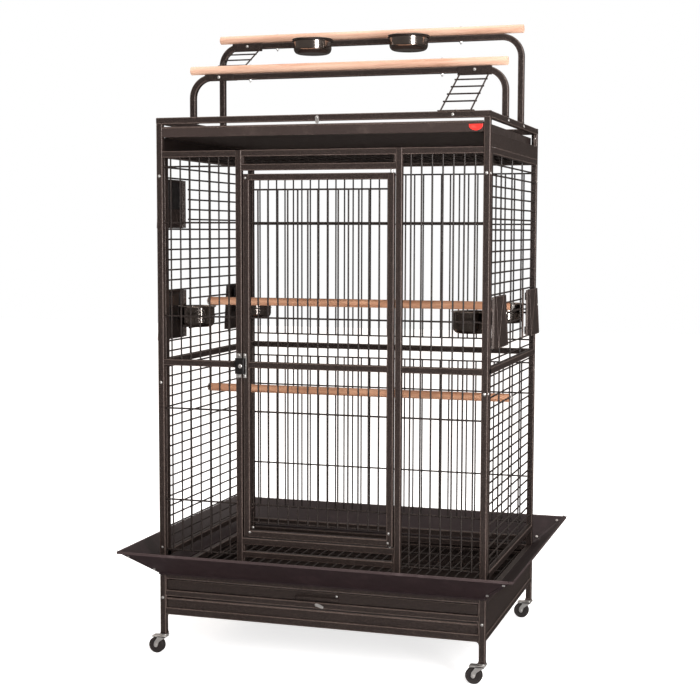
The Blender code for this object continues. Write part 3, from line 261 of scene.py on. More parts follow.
PAINT = hammered_paint("frame_paint", srgb(37, 28, 25), srgb(26, 19, 17), srgb(92, 78, 72))
# A lighter copy of the frame paint, used as painted highlight on rounded tube corners, folds and lips; the small
# corner plates and perforated strips take it as their coat.
PAINT_HIGHLIGHT = hammered_paint("frame_paint_highlight", srgb(80, 66, 61), srgb(56, 46, 42), srgb(146, 130, 122),
                            0.30)
WIRE_PAINT = hammered_paint("wire_paint", srgb(33, 25, 23), srgb(22, 17, 15), srgb(88, 76, 70))
SKIRT_PAINT = smooth_paint("skirt_paint", srgb(38, 27, 29), srgb(27, 19, 21), srgb(62, 48, 50))
# A lighter copy of the skirt paint, used as painted highlight on the skirt's folded lip.
SKIRT_HIGHLIGHT = smooth_paint("skirt_paint_highlight", srgb(66, 53, 53), srgb(50, 40, 41), srgb(92, 80, 80))
STAINLESS = metal("stainless", (0.50, 0.44, 0.40, 1), 0.13, (1, 1, 26), (0.36, 0.31, 0.28, 1))
ZINC = metal("zinc", (0.86, 0.84, 0.82, 1), 0.30, (9, 9, 9), (0.50, 0.48, 0.46, 1), 0.82)
STRIP_PAINT = hammered_paint("strip_paint", srgb(104, 94, 90), srgb(66, 58, 55), srgb(176, 166, 160), 0.34)
TRAY_PAINT = smooth_paint("tray_paint", srgb(56, 46, 43), srgb(44, 35, 33), srgb(88, 76, 71))
WOOD = dowel_wood("perch_wood", srgb(206, 165, 142), srgb(222, 186, 163), srgb(170, 124, 100))
# A darker copy of the perch wood: painted shade for the perches inside the cage.
WOOD_SHADED = dowel_wood("perch_wood_shaded", srgb(182, 132, 102), srgb(200, 154, 124), srgb(140, 94, 68))
WHEEL = plastic("wheel_plastic", srgb(44, 38, 35), srgb(78, 68, 62), 0.50)
TREAD = plastic("wheel_tread", srgb(32, 27, 26), srgb(62, 54, 50), 0.62, 260)
BLACK = plastic("latch_plastic", srgb(18, 16, 16), srgb(48, 45, 44), 0.36)
RED = plastic("badge_red", srgb(226, 44, 38), srgb(240, 92, 82), 0.30, 600)
# Slot 0 is the frame paint, slot 1 its painted highlight.
FRAME_LOOK = (PAINT, PAINT_HIGHLIGHT)


# ---------------------------------------------------------------- mesh building
def circle(radius, sides):
    return [(radius * cos(tau * k / sides), radius * sin(tau * k / sides)) for k in range(sides)]


def arc(radius, start, sweep, steps, other=None, first=0):
    """Points along an arc from start; other is the second half-axis, first skips the points before it."""
    turns = [start + sweep * k / steps for k in range(first, steps + 1)]
    return [(radius * cos(a), (other or radius) * sin(a)) for a in turns]


def facing(normal):
    """The turn that takes +Z to a direction."""
    return Vector((0, 0, 1)).rotation_difference(Vector(normal)).to_matrix()


class Shape:
    """Collects closed shells into the mesh of one piece. Slot 1 is the painted highlight: a lighter coat on its
    rounded edges and folds.
    """

    def __init__(self):
        self.points = []
        self.faces = []
        self.slots = []

    def add(self, points, faces, slot=0):
        start = len(self.points)
        self.points.extend(Vector(point) for point in points)
        for i, face in enumerate(faces):
            self.faces.append([start + corner for corner in face])
            self.slots.append(slot[i] if isinstance(slot, list) else slot)
        return self

    def loft(self, rings, slots=None, caps=True, closed=False):
        """Skin rings of equal length; slots gives one slot for each step round a ring."""
        count = len(rings[0])
        points = [point for ring in rings for point in ring]
        faces = []
        marks = []
        steps = len(rings) if closed else len(rings) - 1
        for ring in range(steps):
            here, there = ring * count, ((ring + 1) % len(rings)) * count
            for i in range(count):
                j = (i + 1) % count
                faces.append([here + i, here + j, there + j, there + i])
                marks.append(slots[i] if slots else 0)
        if caps and not closed:
            faces.append(list(range(count))[::-1])
            faces.append([(len(rings) - 1) * count + i for i in range(count)])
            marks += [0, 0]
        return self.add(points, faces, marks)

    def tube(self, spans, corner=TUBE_CORNER, axis=None):
        """A box along its longest side, with round corners and slightly broken ends."""
        sizes = [high - low for low, high in spans]
        axis = sizes.index(max(sizes)) if axis is None else axis
        across, along = (axis + 1) % 3, (axis + 2) % 3
        middle = [(low + high) / 2 for low, high in spans]
        half_a, half_b = sizes[across] / 2, sizes[along] / 2
        corner = min(corner, half_a * 0.98, half_b * 0.98)
        end_break = min(0.0006, sizes[axis] / 4)
        low, high = spans[axis]
        rings = []
        for place, shrink in ((low, end_break), (low + end_break, 0), (high - end_break, 0), (high, end_break)):
            ring = []
            for (a, b), marks in rounded_outline(half_a - shrink, half_b - shrink, corner):
                point = [0.0, 0.0, 0.0]
                point[axis] = place
                point[across] = middle[across] + a
                point[along] = middle[along] + b
                ring.append(point)
            rings.append(ring)
        slots = [marks for _, marks in rounded_outline(half_a, half_b, corner)]
        return self.loft(rings, slots)

    def box(self, x0, x1, y0, y1, z0, z1, corner=TUBE_CORNER, axis=None):
        return self.tube([sorted((x0, x1)), sorted((y0, y1)), sorted((z0, z1))], corner, axis)

    def bar(self, start, end, radius=WIRE * 0.58, sides=8):
        return self.pipe([start, end], radius, sides)

    def pipe(self, path, radius, sides=8, closed=False):
        """A round bar along a path."""
        path = [Vector(point) for point in path]
        count = len(path)
        rings = []
        side = None
        for i, place in enumerate(path):
            before = path[i - 1] if closed or i else place
            after = path[(i + 1) % count] if closed or i + 1 < count else place
            way = (after - before).normalized()
            if side is None:
                side = way.orthogonal().normalized()
            side = (side - way * side.dot(way)).normalized()
            up = way.cross(side)
            rings.append([place + a * side + b * up for a, b in circle(radius, sides)])
        return self.loft(rings, closed=closed)

    def lathe(self, profile, place=(0, 0, 0), turn=None, sides=32):
        """Turn a (radius, height) profile about Z, then turn and move it; radius 0 closes the end."""
        turn = turn or Matrix.Identity(3)
        rings = []
        for radius, height in profile:
            ring = circle(max(radius, 0.00002), sides)
            rings.append([Vector(place) + turn @ Vector((a, b, height)) for a, b in ring])
        return self.loft(rings)

    def plate(self, outline, back, front):
        """An (x, z) outline made solid between two depths along Y."""
        return self.loft([[(x, y, z) for x, z in outline] for y in (back, front)])

    def fold(self, start, end, radius, sides=8):
        """A rounded fold in the painted-highlight coat, which is lighter than the paint around it."""
        first = len(self.slots)
        self.bar(start, end, radius, sides)
        self.slots[first:] = [1] * (len(self.slots) - first)

    def bolt(self, place, normal, radius=BOLT):
        """Round-headed bolt on a washer, standing on a surface."""
        profile = [(0, 0), (radius * 1.25, 0), (radius * 1.25, radius * 0.16), (radius, radius * 0.20)]
        profile += [(a, radius * 0.20 + b) for a, b in arc(radius, 0, pi / 2, 4, radius * 0.55, 1)]
        return self.lathe(profile, place, facing(normal), 14)

    def nut(self, place, normal, radius=0.0052, height=0.004):
        """Hexagon nut with a broken edge."""
        profile = [(0, 0), (radius, 0), (radius, height * 0.8), (radius * 0.86, height), (0, height)]
        return self.lathe(profile, place, facing(normal), 6)

    def piece(self, name, replaces=None, materials=FRAME_LOOK, body="cage", slot="frame_paint", smooth=32):
        """Make the object, give it its materials, and let it ride on a body in place of a node."""
        mesh = bpy.data.meshes.new(name)
        mesh.from_pydata(self.points, [], self.faces)
        work = bmesh.new()
        work.from_mesh(mesh)
        bmesh.ops.recalc_face_normals(work, faces=work.faces)
        work.to_mesh(mesh)
        work.free()
        for material in materials:
            mesh.materials.append(material)
        mesh.polygons.foreach_set("material_index", [min(mark, len(materials) - 1) for mark in self.slots])
        mesh.shade_smooth()
        mesh.set_sharp_from_angle(angle=radians(smooth))
        item = bpy.data.objects.new(name, mesh)
        bpy.context.scene.collection.objects.link(item)
        even = item.modifiers.new("even_normals", "WEIGHTED_NORMAL")
        even.keep_sharp = True
        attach(item, body)
        if replaces:
            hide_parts(replaces)

    def zinc(self, name, replaces=None, body="cage"):
        self.piece(name, replaces, (ZINC,), body, "zinc")


def rounded_outline(half_a, half_b, corner, steps=3):
    """Points round a rectangle with round corners, each with the slot of the step that follows it."""
    outline = []
    for i, (a, b) in enumerate(((1, 1), (-1, 1), (-1, -1), (1, -1))):
        centre = (a * (half_a - corner), b * (half_b - corner))
        for k in range(steps + 1):
            angle = pi / 2 * (i + k / steps)
            point = (centre[0] + corner * cos(angle), centre[1] + corner * sin(angle))
            # The steps round each corner take slot 1, the painted highlight on the tube's rounded edge.
            outline.append((point, 1 if k < steps else 0))
    return outline


# ---------------------------------------------------------------- grilles
def bar_levels():
    """Levels of a side grille's bars, from the top down and from the foot up."""
    upper = int((TOP_WIRE - MID_RAIL - TUBE / 2) / PITCH)
    lower = int((MID_RAIL_FOOT - LOW_WIRE) / PITCH)
    return [TOP_WIRE - i * PITCH for i in range(upper + 1)] + [LOW_WIRE + i * PITCH for i in range(lower + 1)]


def bars_around_middle(limit):
    reach = int((limit - WIRE) / PITCH)
    return [i * PITCH for i in range(-reach, reach + 1)]


def cross_levels():
    return [LOW_WIRE, MID_RAIL - CROSS_FAR, MID_RAIL - CROSS_NEAR, MID_RAIL + CROSS_NEAR, MID_RAIL + CROSS_FAR,
            TOP_WIRE]


def feeder_doors(side):
    """Names of the feeder doors on a side."""
    hand = "left" if side == LEFT else "right"
    return [name for name in sorted(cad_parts) if name.startswith(f"feeder_door_{hand}")]


def perforated_strip(shape, x, y, z0, z1):
    """Flat strip with a column of round holes, facing the side of the cage."""
    cells = max(1, round((z1 - z0) / STRIP_WIDTH))
    height = (z1 - z0) / cells
    half_y, half_x = STRIP_WIDTH / 2, STRIP_THICKNESS / 2
    hole = STRIP_WIDTH * 0.21
    for cell in range(cells):
        middle = z0 + height * (cell + 0.5)
        outer = []
        inner = []
        for k in range(8):
            angle = tau * k / 8
            a, b = cos(angle), sin(angle)
            reach = max(abs(a), abs(b))
            outer.append((y + a / reach * half_y, middle + b / reach * height / 2))
            inner.append((y + a * hole, middle + b * hole))
        points = [(x + off, *point) for off in (-half_x, half_x) for ring in (outer, inner) for point in ring]
        faces = []
        for k in range(8):
            j = (k + 1) % 8
            faces += [[k, j, 8 + j, 8 + k], [16 + k, 16 + j, 24 + j, 24 + k], [k, j, 16 + j, 16 + k],
                      [8 + k, 8 + j, 24 + j, 24 + k]]
        shape.add(points, faces, 1)


def side_panel(hand, side):
    """Posts, rails, the tray's band, every bar and the perforated strips of the feeder doors."""
    shape = Shape()
    outer, inner = side * OUTER_X, side * INNER_X
    for front in SIDES:
        shape.box(inner, outer, front * INNER_Y, front * OUTER_Y, CAGE_FOOT, POST_TOP)
    shape.box(inner, outer, -INNER_Y, -INNER_Y + SIDE_STILE, CAGE_FOOT + 0.004, HEADER_FOOT + 0.004)
    for foot in (HEADER_FOOT, MID_RAIL_FOOT, CAGE_FOOT + SIDE_RAIL_HEIGHT):
        shape.box(inner, outer, -INNER_Y, INNER_Y, foot, foot + TUBE)
    band = span(f"side_panel_{hand}", 0)
    reach = band[1] if side == LEFT else band[0]
    shape.box(outer - side * SHEET, outer, -INNER_Y, INNER_Y, HEADER_TOP, BAND_TOP, FOLD)
    shape.box(reach, outer, -INNER_Y, INNER_Y, BAND_TOP - SHEET, BAND_TOP, FOLD)
    x, z = outer - side * BEAD, BAND_TOP - BEAD
    shape.bar((x, -INNER_Y, z), (x, INNER_Y, z), BEAD)
    shape.piece(f"side_frame_{hand}", f"side_panel_{hand}")

    wires = Shape()
    doors = [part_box(name) for name in feeder_doors(side)]
    x_bar, x_upright = side * (POST_X + WIRE * 0.35), side * (POST_X - WIRE * 0.45)
    for level in bar_levels():
        stretches = [(-INNER_Y, INNER_Y)]
        for low, high in doors:
            if low.z < level < high.z:
                rear = low.y > 0
                near, far = (UPRIGHT_Y, INNER_Y) if rear else (-INNER_Y, -UPRIGHT_Y)
                stretches = [(a, min(b, near)) for a, b in stretches] + [(max(a, far), b) for a, b in stretches]
                stretches = [(a, b) for a, b in stretches if b - a > WIRE]
        for a, b in stretches:
            wires.bar((x_bar, a, level), (x_bar, b, level))
    side_foot = CAGE_FOOT + SIDE_RAIL_HEIGHT
    for y in (-UPRIGHT_Y, 0, UPRIGHT_Y):
        wires.bar((x_upright, y, side_foot), (x_upright, y, HEADER_FOOT))
    for low, high in doors:
        rear = low.y > 0
        y = UPRIGHT_Y + WIRE / 2 + STRIP_WIDTH / 2 if rear else -INNER_Y + STRIP_WIDTH / 2
        perforated_strip(wires, side * (POST_X + 0.0045), y, low.z - 0.003, high.z + 0.003)
    # Slot 1 here is the painted-highlight coat, worn by the perforated strips.
    wires.piece(f"side_bars_{hand}", materials=(WIRE_PAINT, PAINT_HIGHLIGHT))


def back_panel():
    shape = Shape()
    end = INNER_X - GAP
    for foot in (HEADER_FOOT, MID_RAIL_FOOT, HIDDEN_RAIL_FOOT):
        shape.box(-end, end, INNER_Y, OUTER_Y, foot, foot + TUBE)
    shape.box(-end, end, OUTER_Y - SHEET, OUTER_Y, HEADER_TOP, BAND_TOP, FOLD)
    y, z = OUTER_Y - BEAD, BAND_TOP - BEAD
    shape.bar((-end, y, z), (end, y, z), BEAD)
    shape.piece("back_frame", "back_panel")
    wires = Shape()
    margin = TUBE / 2 + BACK_MARGIN
    y_cross, y_bar = POST_Y + WIRE * 0.4, POST_Y - WIRE * 0.4
    for foot, top in ((MID_RAIL + margin, TOP_WIRE), (LOW_WIRE, MID_RAIL - margin)):
        for level in [foot, top] + [level for level in cross_levels() if foot + WIRE < level < top - WIRE]:
            wires.bar((-end, y_cross, level), (end, y_cross, level))
        for x in bars_around_middle(INNER_X):
            wires.bar((x, y_bar, foot - WIRE / 2), (x, y_bar, top + WIRE / 2))
    wires.piece("back_bars", materials=(WIRE_PAINT,))


def front_panel(hand, side):
    shape = Shape()
    end, post_out = side * (INNER_X - GAP), side * DOOR_POST_OUT
    shape.box(side * DOOR_POST_IN, post_out, -OUTER_Y, -INNER_Y, CAGE_FOOT, HEADER_TOP)
    for foot in (HEADER_FOOT, MID_RAIL_FOOT, HIDDEN_RAIL_FOOT):
        shape.box(post_out, end, -OUTER_Y, -INNER_Y, foot, foot + TUBE)
    shape.piece(f"front_frame_{hand}", f"front_panel_{hand}")
    wires = Shape()
    y_bar, y_cross = -POST_Y - WIRE * 0.4, -POST_Y + WIRE * 0.45
    for level in cross_levels():
        wires.bar((post_out, y_cross, level), (end, y_cross, level))
    centre = side * (DOOR_POST_OUT + INNER_X) / 2
    reach = FRONT_BAY_BARS // 2
    for i in range(-reach, reach + 1):
        x = centre + i * PITCH
        wires.bar((x, y_bar, LOW_WIRE - WIRE / 2), (x, y_bar, HEADER_FOOT))
    wires.piece(f"front_bars_{hand}", materials=(WIRE_PAINT,))


def door_surround():
    end = DOOR_POST_IN - GAP
    threshold = CAGE_FOOT + THRESHOLD_HEIGHT
    lintel = Shape()
    for foot in (HEADER_FOOT, LINTEL_FOOT):
        lintel.box(-end, end, -OUTER_Y, -INNER_Y, foot, foot + TUBE)
    for side in SIDES:
        lintel.box(side * (end - 0.006), side * end, -OUTER_Y + 0.001, -INNER_Y, LINTEL_FOOT + 0.002,
                   HEADER_TOP - 0.002, 0.001, 2)
    lintel.piece("door_header", "door_lintel")
    sill = Shape()
    for foot, top in ((SILL_TOP - SILL_HEIGHT, SILL_TOP), (threshold, threshold + THRESHOLD),
                      (HIDDEN_RAIL_FOOT, HIDDEN_RAIL_FOOT + TUBE)):
        sill.box(-end, end, -OUTER_Y, -INNER_Y, foot, top)
    for side in SIDES:
        sill.box(side * (end - 0.006), side * end, -OUTER_Y + 0.001, -INNER_Y, HIDDEN_RAIL_FOOT + 0.002,
                 SILL_TOP - 0.002, 0.001, 2)
    sill.piece("door_threshold", "door_sill")


def main_door():
    shape = Shape()
    for side in SIDES:
        shape.box(side * (DOOR_HALF - TUBE), side * DOOR_HALF, -OUTER_Y, -INNER_Y, DOOR_FOOT, DOOR_TOP)
    for foot in (DOOR_FOOT, MID_RAIL_FOOT, DOOR_TOP - TUBE):
        shape.box(-DOOR_HALF + TUBE * 0.9, DOOR_HALF - TUBE * 0.9, -OUTER_Y, -INNER_Y, foot, foot + TUBE)
    shape.piece("door_frame", "main_door", body="main_door")
    wires = Shape()
    foot, top = DOOR_FOOT + DOOR_WIRE_FOOT, DOOR_TOP - DOOR_WIRE_TOP
    y_bar, y_cross = -POST_Y - WIRE * 0.4, -POST_Y + WIRE * 0.45
    side_end = DOOR_HALF - TUBE
    for level in [foot, top] + [level for level in cross_levels() if foot + WIRE < level < top - WIRE]:
        wires.bar((-side_end, y_cross, level), (side_end, y_cross, level))
    reach = DOOR_BARS // 2
    for i in range(-reach, reach + 1):
        wires.bar((i * PITCH, y_bar, foot - WIRE / 2), (i * PITCH, y_bar, top + WIRE / 2))
    wires.piece("door_bars", materials=(WIRE_PAINT,), body="main_door")


def door_hardware():
    """Hinge pins, the latch's housing, screws, knob and cam."""
    for name in ("door_pin_upper", "door_pin_lower"):
        low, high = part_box(name)
        middle = (low + high) / 2
        radius = (high.x - low.x) / 2
        shape = Shape()
        reach = (high.z - low.z) / 2
        shape.lathe([(0, -reach), (radius - 0.0006, -reach), (radius, -reach + 0.0008), (radius, reach - 0.0008),
                     (radius - 0.0006, reach), (0, reach)], middle, sides=20)
        shape.zinc(f"{name}_shaft", name)

    low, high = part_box("latch_housing")
    shape = Shape()
    shape.box(low.x, high.x, low.y, high.y, low.z, high.z, 0.004)
    shape.box(low.x + 0.004, high.x - 0.004, low.y - 0.0006, low.y + 0.001, low.z + 0.006, high.z - 0.006,
              0.0004, 2)
    for rib in range(3):
        z = low.z + 0.008 + rib * 0.004
        shape.box(low.x + 0.005, high.x - 0.005, low.y - 0.0014, low.y, z, z + 0.0018, 0.0006, 0)
    shape.piece("latch_case", "latch_housing", materials=(BLACK,), body="main_door", slot="latch_plastic")

    plate = Shape()
    wing = 0.013
    right = high.x
    plate.box(-DOOR_HALF + 0.001, right + 0.001, -OUTER_Y - 0.0014, -OUTER_Y + 0.0002, low.z - wing, high.z + wing,
              0.0006, 2)
    for z in (low.z - wing * 0.55, high.z + wing * 0.55):
        plate.bolt(((-DOOR_HALF + right) / 2 + 0.001, -OUTER_Y - 0.0014, z), (0, -1, 0), 0.0036)
    plate.zinc("latch_plate", body="main_door")
    striker = Shape()
    post = -(DOOR_POST_IN + DOOR_POST_OUT) / 2
    striker.box(post - 0.007, post + 0.008, -OUTER_Y - 0.0002, -OUTER_Y + 0.0003, low.z - wing, high.z + wing,
                0.0002, 2)
    for z in (low.z - wing * 0.55, high.z + wing * 0.55):
        striker.bolt((post, -OUTER_Y, z), (0, -1, 0), 0.0036)
    striker.zinc("latch_striker")

    low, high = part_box("latch_cam")
    axis_x = -DOOR_HALF - (DOOR_POST_IN - DOOR_HALF) / 2
    axis_z = (low.z + high.z) / 2
    cam = Shape()
    cam.lathe([(0, 0), (0.0062, 0), (0.0062, 0.0022), (0.0050, 0.0032), (0.0022, 0.0036), (0, 0.0036)],
              (axis_x, low.y + 0.0040, axis_z), Matrix.Rotation(pi / 2, 3, "X"), 24)
    cam.bar((axis_x, low.y + 0.001, axis_z), (axis_x, high.y - 0.0005, axis_z), 0.0016, 12)
    cam.box(axis_x - 0.0019, high.x, high.y - 0.003, high.y, low.z + 0.001, high.z - 0.001, 0.0012, 0)
    cam.zinc("latch_knob_and_cam", "latch_cam", body="latch_cam")


# ---------------------------------------------------------------- feeder doors and bowls
def pan(shape, low, high, side, y0, y1, z0, z1):
    """Pressed door: a triangle fold between two side faces, with hemmed edges; the hems and creases carry painted
    highlight.
    """
    back = side * (OUTER_X + GAP)
    outer = low.x if side == LEFT else high.x
    foot_depth = abs(outer - back)
    edge_depth, peak_depth = foot_depth - 0.008, foot_depth - 0.002
    apex = (y0 + y1) / 2

    def skin(inset):
        a, b, c, d = y0 + inset, y1 - inset, z0 + inset, z1 - inset
        foot, edge, peak = (back + side * (depth - inset) for depth in (foot_depth, edge_depth, peak_depth))
        return ([(back, a, c), (back, b, c), (back, b, d), (back, apex, d), (back, a, d)]
                + [(foot, a, c), (foot, b, c), (edge, b, d), (peak, apex, d), (edge, a, d)])

    faces = []
    marks = []
    for start in (0, 10):
        base = [start + i for i in range(5)]
        front = [start + 5 + i for i in range(5)]
        for i in range(5):
            j = (i + 1) % 5
            faces.append([base[i], base[j], front[j], front[i]])
            marks.append(0)
        faces += [[front[0], front[1], front[3]], [front[1], front[2], front[3]], [front[0], front[3], front[4]]]
        marks += [0, 0, 0]
    # The hem faces take slot 1, the painted highlight.
    for i in range(5):
        j = (i + 1) % 5
        faces.append([i, j, 10 + j, 10 + i])
        marks.append(1)
    shape.add(skin(0) + skin(0.0012), faces, marks)
    # The creases are rounded folds in painted highlight.
    ridge = 0.0011
    points = skin(ridge)
    for a, b in ((8, 5), (8, 6), (5, 9), (6, 7), (5, 6), (9, 8), (8, 7)):
        start, end = (Vector(points[i]) + Vector((side * ridge * 0.6, 0, 0)) for i in (a, b))
        shape.fold(start, end, ridge)


def cradle(shape, bowl_name, back, side):
    """Two wire rings round the bowl, with posts and arms; returns the rings' upper level."""
    low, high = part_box(bowl_name)
    middle = (low + high) / 2
    reach = (high.x - low.x) / 2 - 0.0030
    top = high.z - 0.0014
    for radius, drop in ((reach, CRADLE_TOP), (reach - CRADLE_ROD, CRADLE_FOOT)):
        shape.pipe([(middle.x + a, middle.y + b, top - drop) for a, b in circle(radius, 36)], CRADLE_ROD, 8,
                   closed=True)
    for a, b in arc(reach, pi / 4, tau, 4)[:4]:
        x, y = middle.x + a, middle.y + b
        shape.bar((x, y, top - CRADLE_TOP), (x, y, top - CRADLE_FOOT - 0.001), CRADLE_ROD)
    for offset in (-0.022, 0.022):
        for drop in (CRADLE_TOP, CRADLE_FOOT):
            y, z = middle.y + offset, top - drop
            shape.bar((middle.x + side * (reach - 0.006), y, z), (back + side * 0.004, y, z), 0.0017)
    return top


def feeder(name, side):
    """Pressed door with a perforated flange, wire cradle for its bowl and hinge knuckles."""
    low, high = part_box(name)
    if low.y > 0:
        low.y = max(low.y, UPRIGHT_Y + WIRE / 2 + STRIP_WIDTH + 0.001)
    body = name.replace("feeder_door", "feeder")
    bowl_name = name.replace("feeder_door", "feeder_bowl")
    has_bowl = bowl_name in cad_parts
    back = side * (OUTER_X + GAP)
    shape = Shape()
    flange = FLANGE[side]
    near, far, strip_y = low.y, high.y - flange, high.y - flange / 2
    if side == RIGHT:
        near, far, strip_y = low.y + flange, high.y, low.y + flange / 2
    pan(shape, low, high, side, near, far, low.z, high.z)
    strip = Shape()
    for offset in (-STRIP_WIDTH / 2, STRIP_WIDTH / 2):
        perforated_strip(strip, back + side * 0.0020, strip_y + offset, low.z + 0.001, high.z - 0.001)
    strip.piece(f"{name}_flange", materials=(STRIP_PAINT, STRIP_PAINT), body=body)
    if has_bowl:
        ring_top = cradle(shape, bowl_name, back, side)
        shape.box(back + side * 0.0005, back + side * 0.002, low.y + 0.004, high.y - 0.004, ring_top - 0.034,
                  ring_top + 0.004, 0.0006, 1)
    x, y = back + side * 0.001, low.y + 0.0012
    for level in (low.z + 0.020, high.z - 0.020):
        shape.bar((x, y, level - 0.012), (x, y, level + 0.012), 0.0026, 10)
    shape.piece(f"{name}_pan", name, body=body)

    # A black panel with a black rim in the door: painted shade standing in for the door's dark opening.
    painted_shade = Shape()
    middle, half = (low.y + high.y) / 2, (high.y - low.y) * 0.20
    y0, y1 = middle - half, middle + half
    foot, top, edge = low.z + (high.z - low.z) * 0.42, high.z - 0.012, 0.004
    painted_shade.box(back - side * 0.0012, back + side * 0.0012, y0, y1, foot, top, 0.0008, 2)
    for place in ((y0 - edge, y1 + edge, top, top + edge), (y0 - edge, y1 + edge, foot - edge, foot),
                  (y0 - edge, y0, foot, top), (y1, y1 + edge, foot, top)):
        painted_shade.box(back - side * 0.0032, back + side * 0.0006, *place, 0.0008)
    painted_shade.piece(f"{name}_recess", materials=(BLACK,), body=body)

    trim = Shape()
    trim.bolt((back + side * 0.0112, high.y - 0.016, (low.z + high.z) / 2 + 0.020), (side, 0, 0), 0.0034)
    trim.zinc(f"{name}_screw", body=body)
    if has_bowl:
        bowl(bowl_name, body)


def bowl(name, body):
    """Deep-drawn bowl: rolled rim, straight wall and a wide round corner at its foot."""
    low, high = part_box(name)
    middle = (low + high) / 2
    radius = (high.x - low.x) / 2
    depth = high.z - low.z
    wall = radius - 0.0052
    corner = 0.0150
    thick = 0.0008
    outer = [(0, 0.0010), (wall - corner - 0.010, 0.0010), (wall - corner - 0.006, 0)]
    inner = []
    for i in range(9):
        angle = pi / 2 * i / 8
        across, up = corner * sin(angle), corner * (1 - cos(angle))
        outer.append((wall - corner + across - (0.0006 if i < 8 else 0), up))
        inner.append((wall - corner + across * (1 - thick / corner) - thick, up + thick + (0.0008 if i < 2 else 0)))
    outer.append((wall, depth - 0.0052))
    rim = [(wall + 0.0006, depth - 0.0034), (radius - 0.0024, depth - 0.0034), (radius - 0.0006, depth - 0.0030),
           (radius, depth - 0.0018), (radius - 0.0006, depth - 0.0006), (radius - 0.0022, depth),
           (wall + 0.0008, depth - 0.0008), (wall - thick, depth - 0.0026)]
    profile = outer + rim + inner[::-1] + [(0, 0.0018)]
    shape = Shape().lathe(profile, (middle.x, middle.y, low.z), sides=64)
    shape.piece(f"{name}_steel", name, materials=(STAINLESS,), body=body, slot="stainless", smooth=40)


# ---------------------------------------------------------------- stand
def base_sides():
    for hand, side in HANDS:
        shape = Shape()
        node = f"base_{hand}"
        outer, inner = side * OUTER_X, side * INNER_X
        band = span(node, 0)
        reach = band[1] if side == LEFT else band[0]
        for front in SIDES:
            shape.box(inner, outer, front * INNER_Y, front * OUTER_Y, LEG_FOOT, BASE_TOP)
            shape.box(inner - side * 0.001, outer, front * (INNER_Y - 0.001), front * OUTER_Y, LEG_FOOT,
                      LEG_FOOT + 0.006)
        shape.box(inner, outer, -INNER_Y, INNER_Y, BASE_TOP - RAIL, BASE_TOP)
        shape.box(inner, outer, -INNER_Y, INNER_Y, LOW_RAIL_FOOT, LOW_RAIL_FOOT + RAIL)
        web = outer - side * 0.003
        shape.box(web - side * SHEET, web, -INNER_Y, INNER_Y, LOW_RAIL_FOOT + 0.017, BASE_TOP - 0.017, 0.0006)
        for foot in (span("floor_grate", 2)[0], span("bottom_tray", 2)[0]):
            shape.box(reach, web, -INNER_Y, INNER_Y, foot - 0.0033, foot - GAP, 0.001)
        shape.piece(f"stand_side_{hand}", node)
    back = Shape()
    end = INNER_X - GAP
    web = OUTER_Y - 0.003
    back.box(-end, end, INNER_Y, OUTER_Y, BASE_TOP - RAIL, BASE_TOP)
    back.box(-end, end, INNER_Y, OUTER_Y, LOW_RAIL_FOOT, LOW_RAIL_FOOT + RAIL)
    back.box(-end, end, web - SHEET, web, LOW_RAIL_FOOT + 0.017, BASE_TOP - 0.017, 0.0006)
    back.piece("stand_back", "base_back")


def base_front():
    """Three rails, with small gussets at the legs."""
    shape = Shape()
    end = INNER_X - GAP
    grate_low, grate_high = span("grate_front", 2)
    tray_foot, tray_rim = span("bottom_tray", 2)
    rails = ((LOW_RAIL_FOOT, tray_foot - 0.0008), (tray_rim + 0.0045, grate_low - 0.0025),
             (grate_high + 0.0045, BASE_TOP))
    for foot, top in rails:
        shape.box(-end, end, -OUTER_Y, -INNER_Y, foot, top, 0.003)
    for side in SIDES:
        shape.box(side * (end - 0.003), side * end, -OUTER_Y + 0.001, -INNER_Y, LOW_RAIL_FOOT + 0.002,
                  BASE_TOP - 0.002, 0.001, 2)
        corner = side * end
        gusset = [(corner, LOW_RAIL_FOOT + 0.0005), (corner, LOW_RAIL_FOOT - 0.009)]
        gusset += [(corner - side * (0.009 - a), LOW_RAIL_FOOT - 0.009 + b)
                   for a, b in arc(0.009, 0, pi / 2, 5, first=1)[:4]]
        gusset.append((corner - side * 0.009, LOW_RAIL_FOOT + 0.0005))
        shape.plate(gusset, -OUTER_Y + 0.002, -INNER_Y - 0.002)
    shape.piece("stand_front", "base_front_frame")


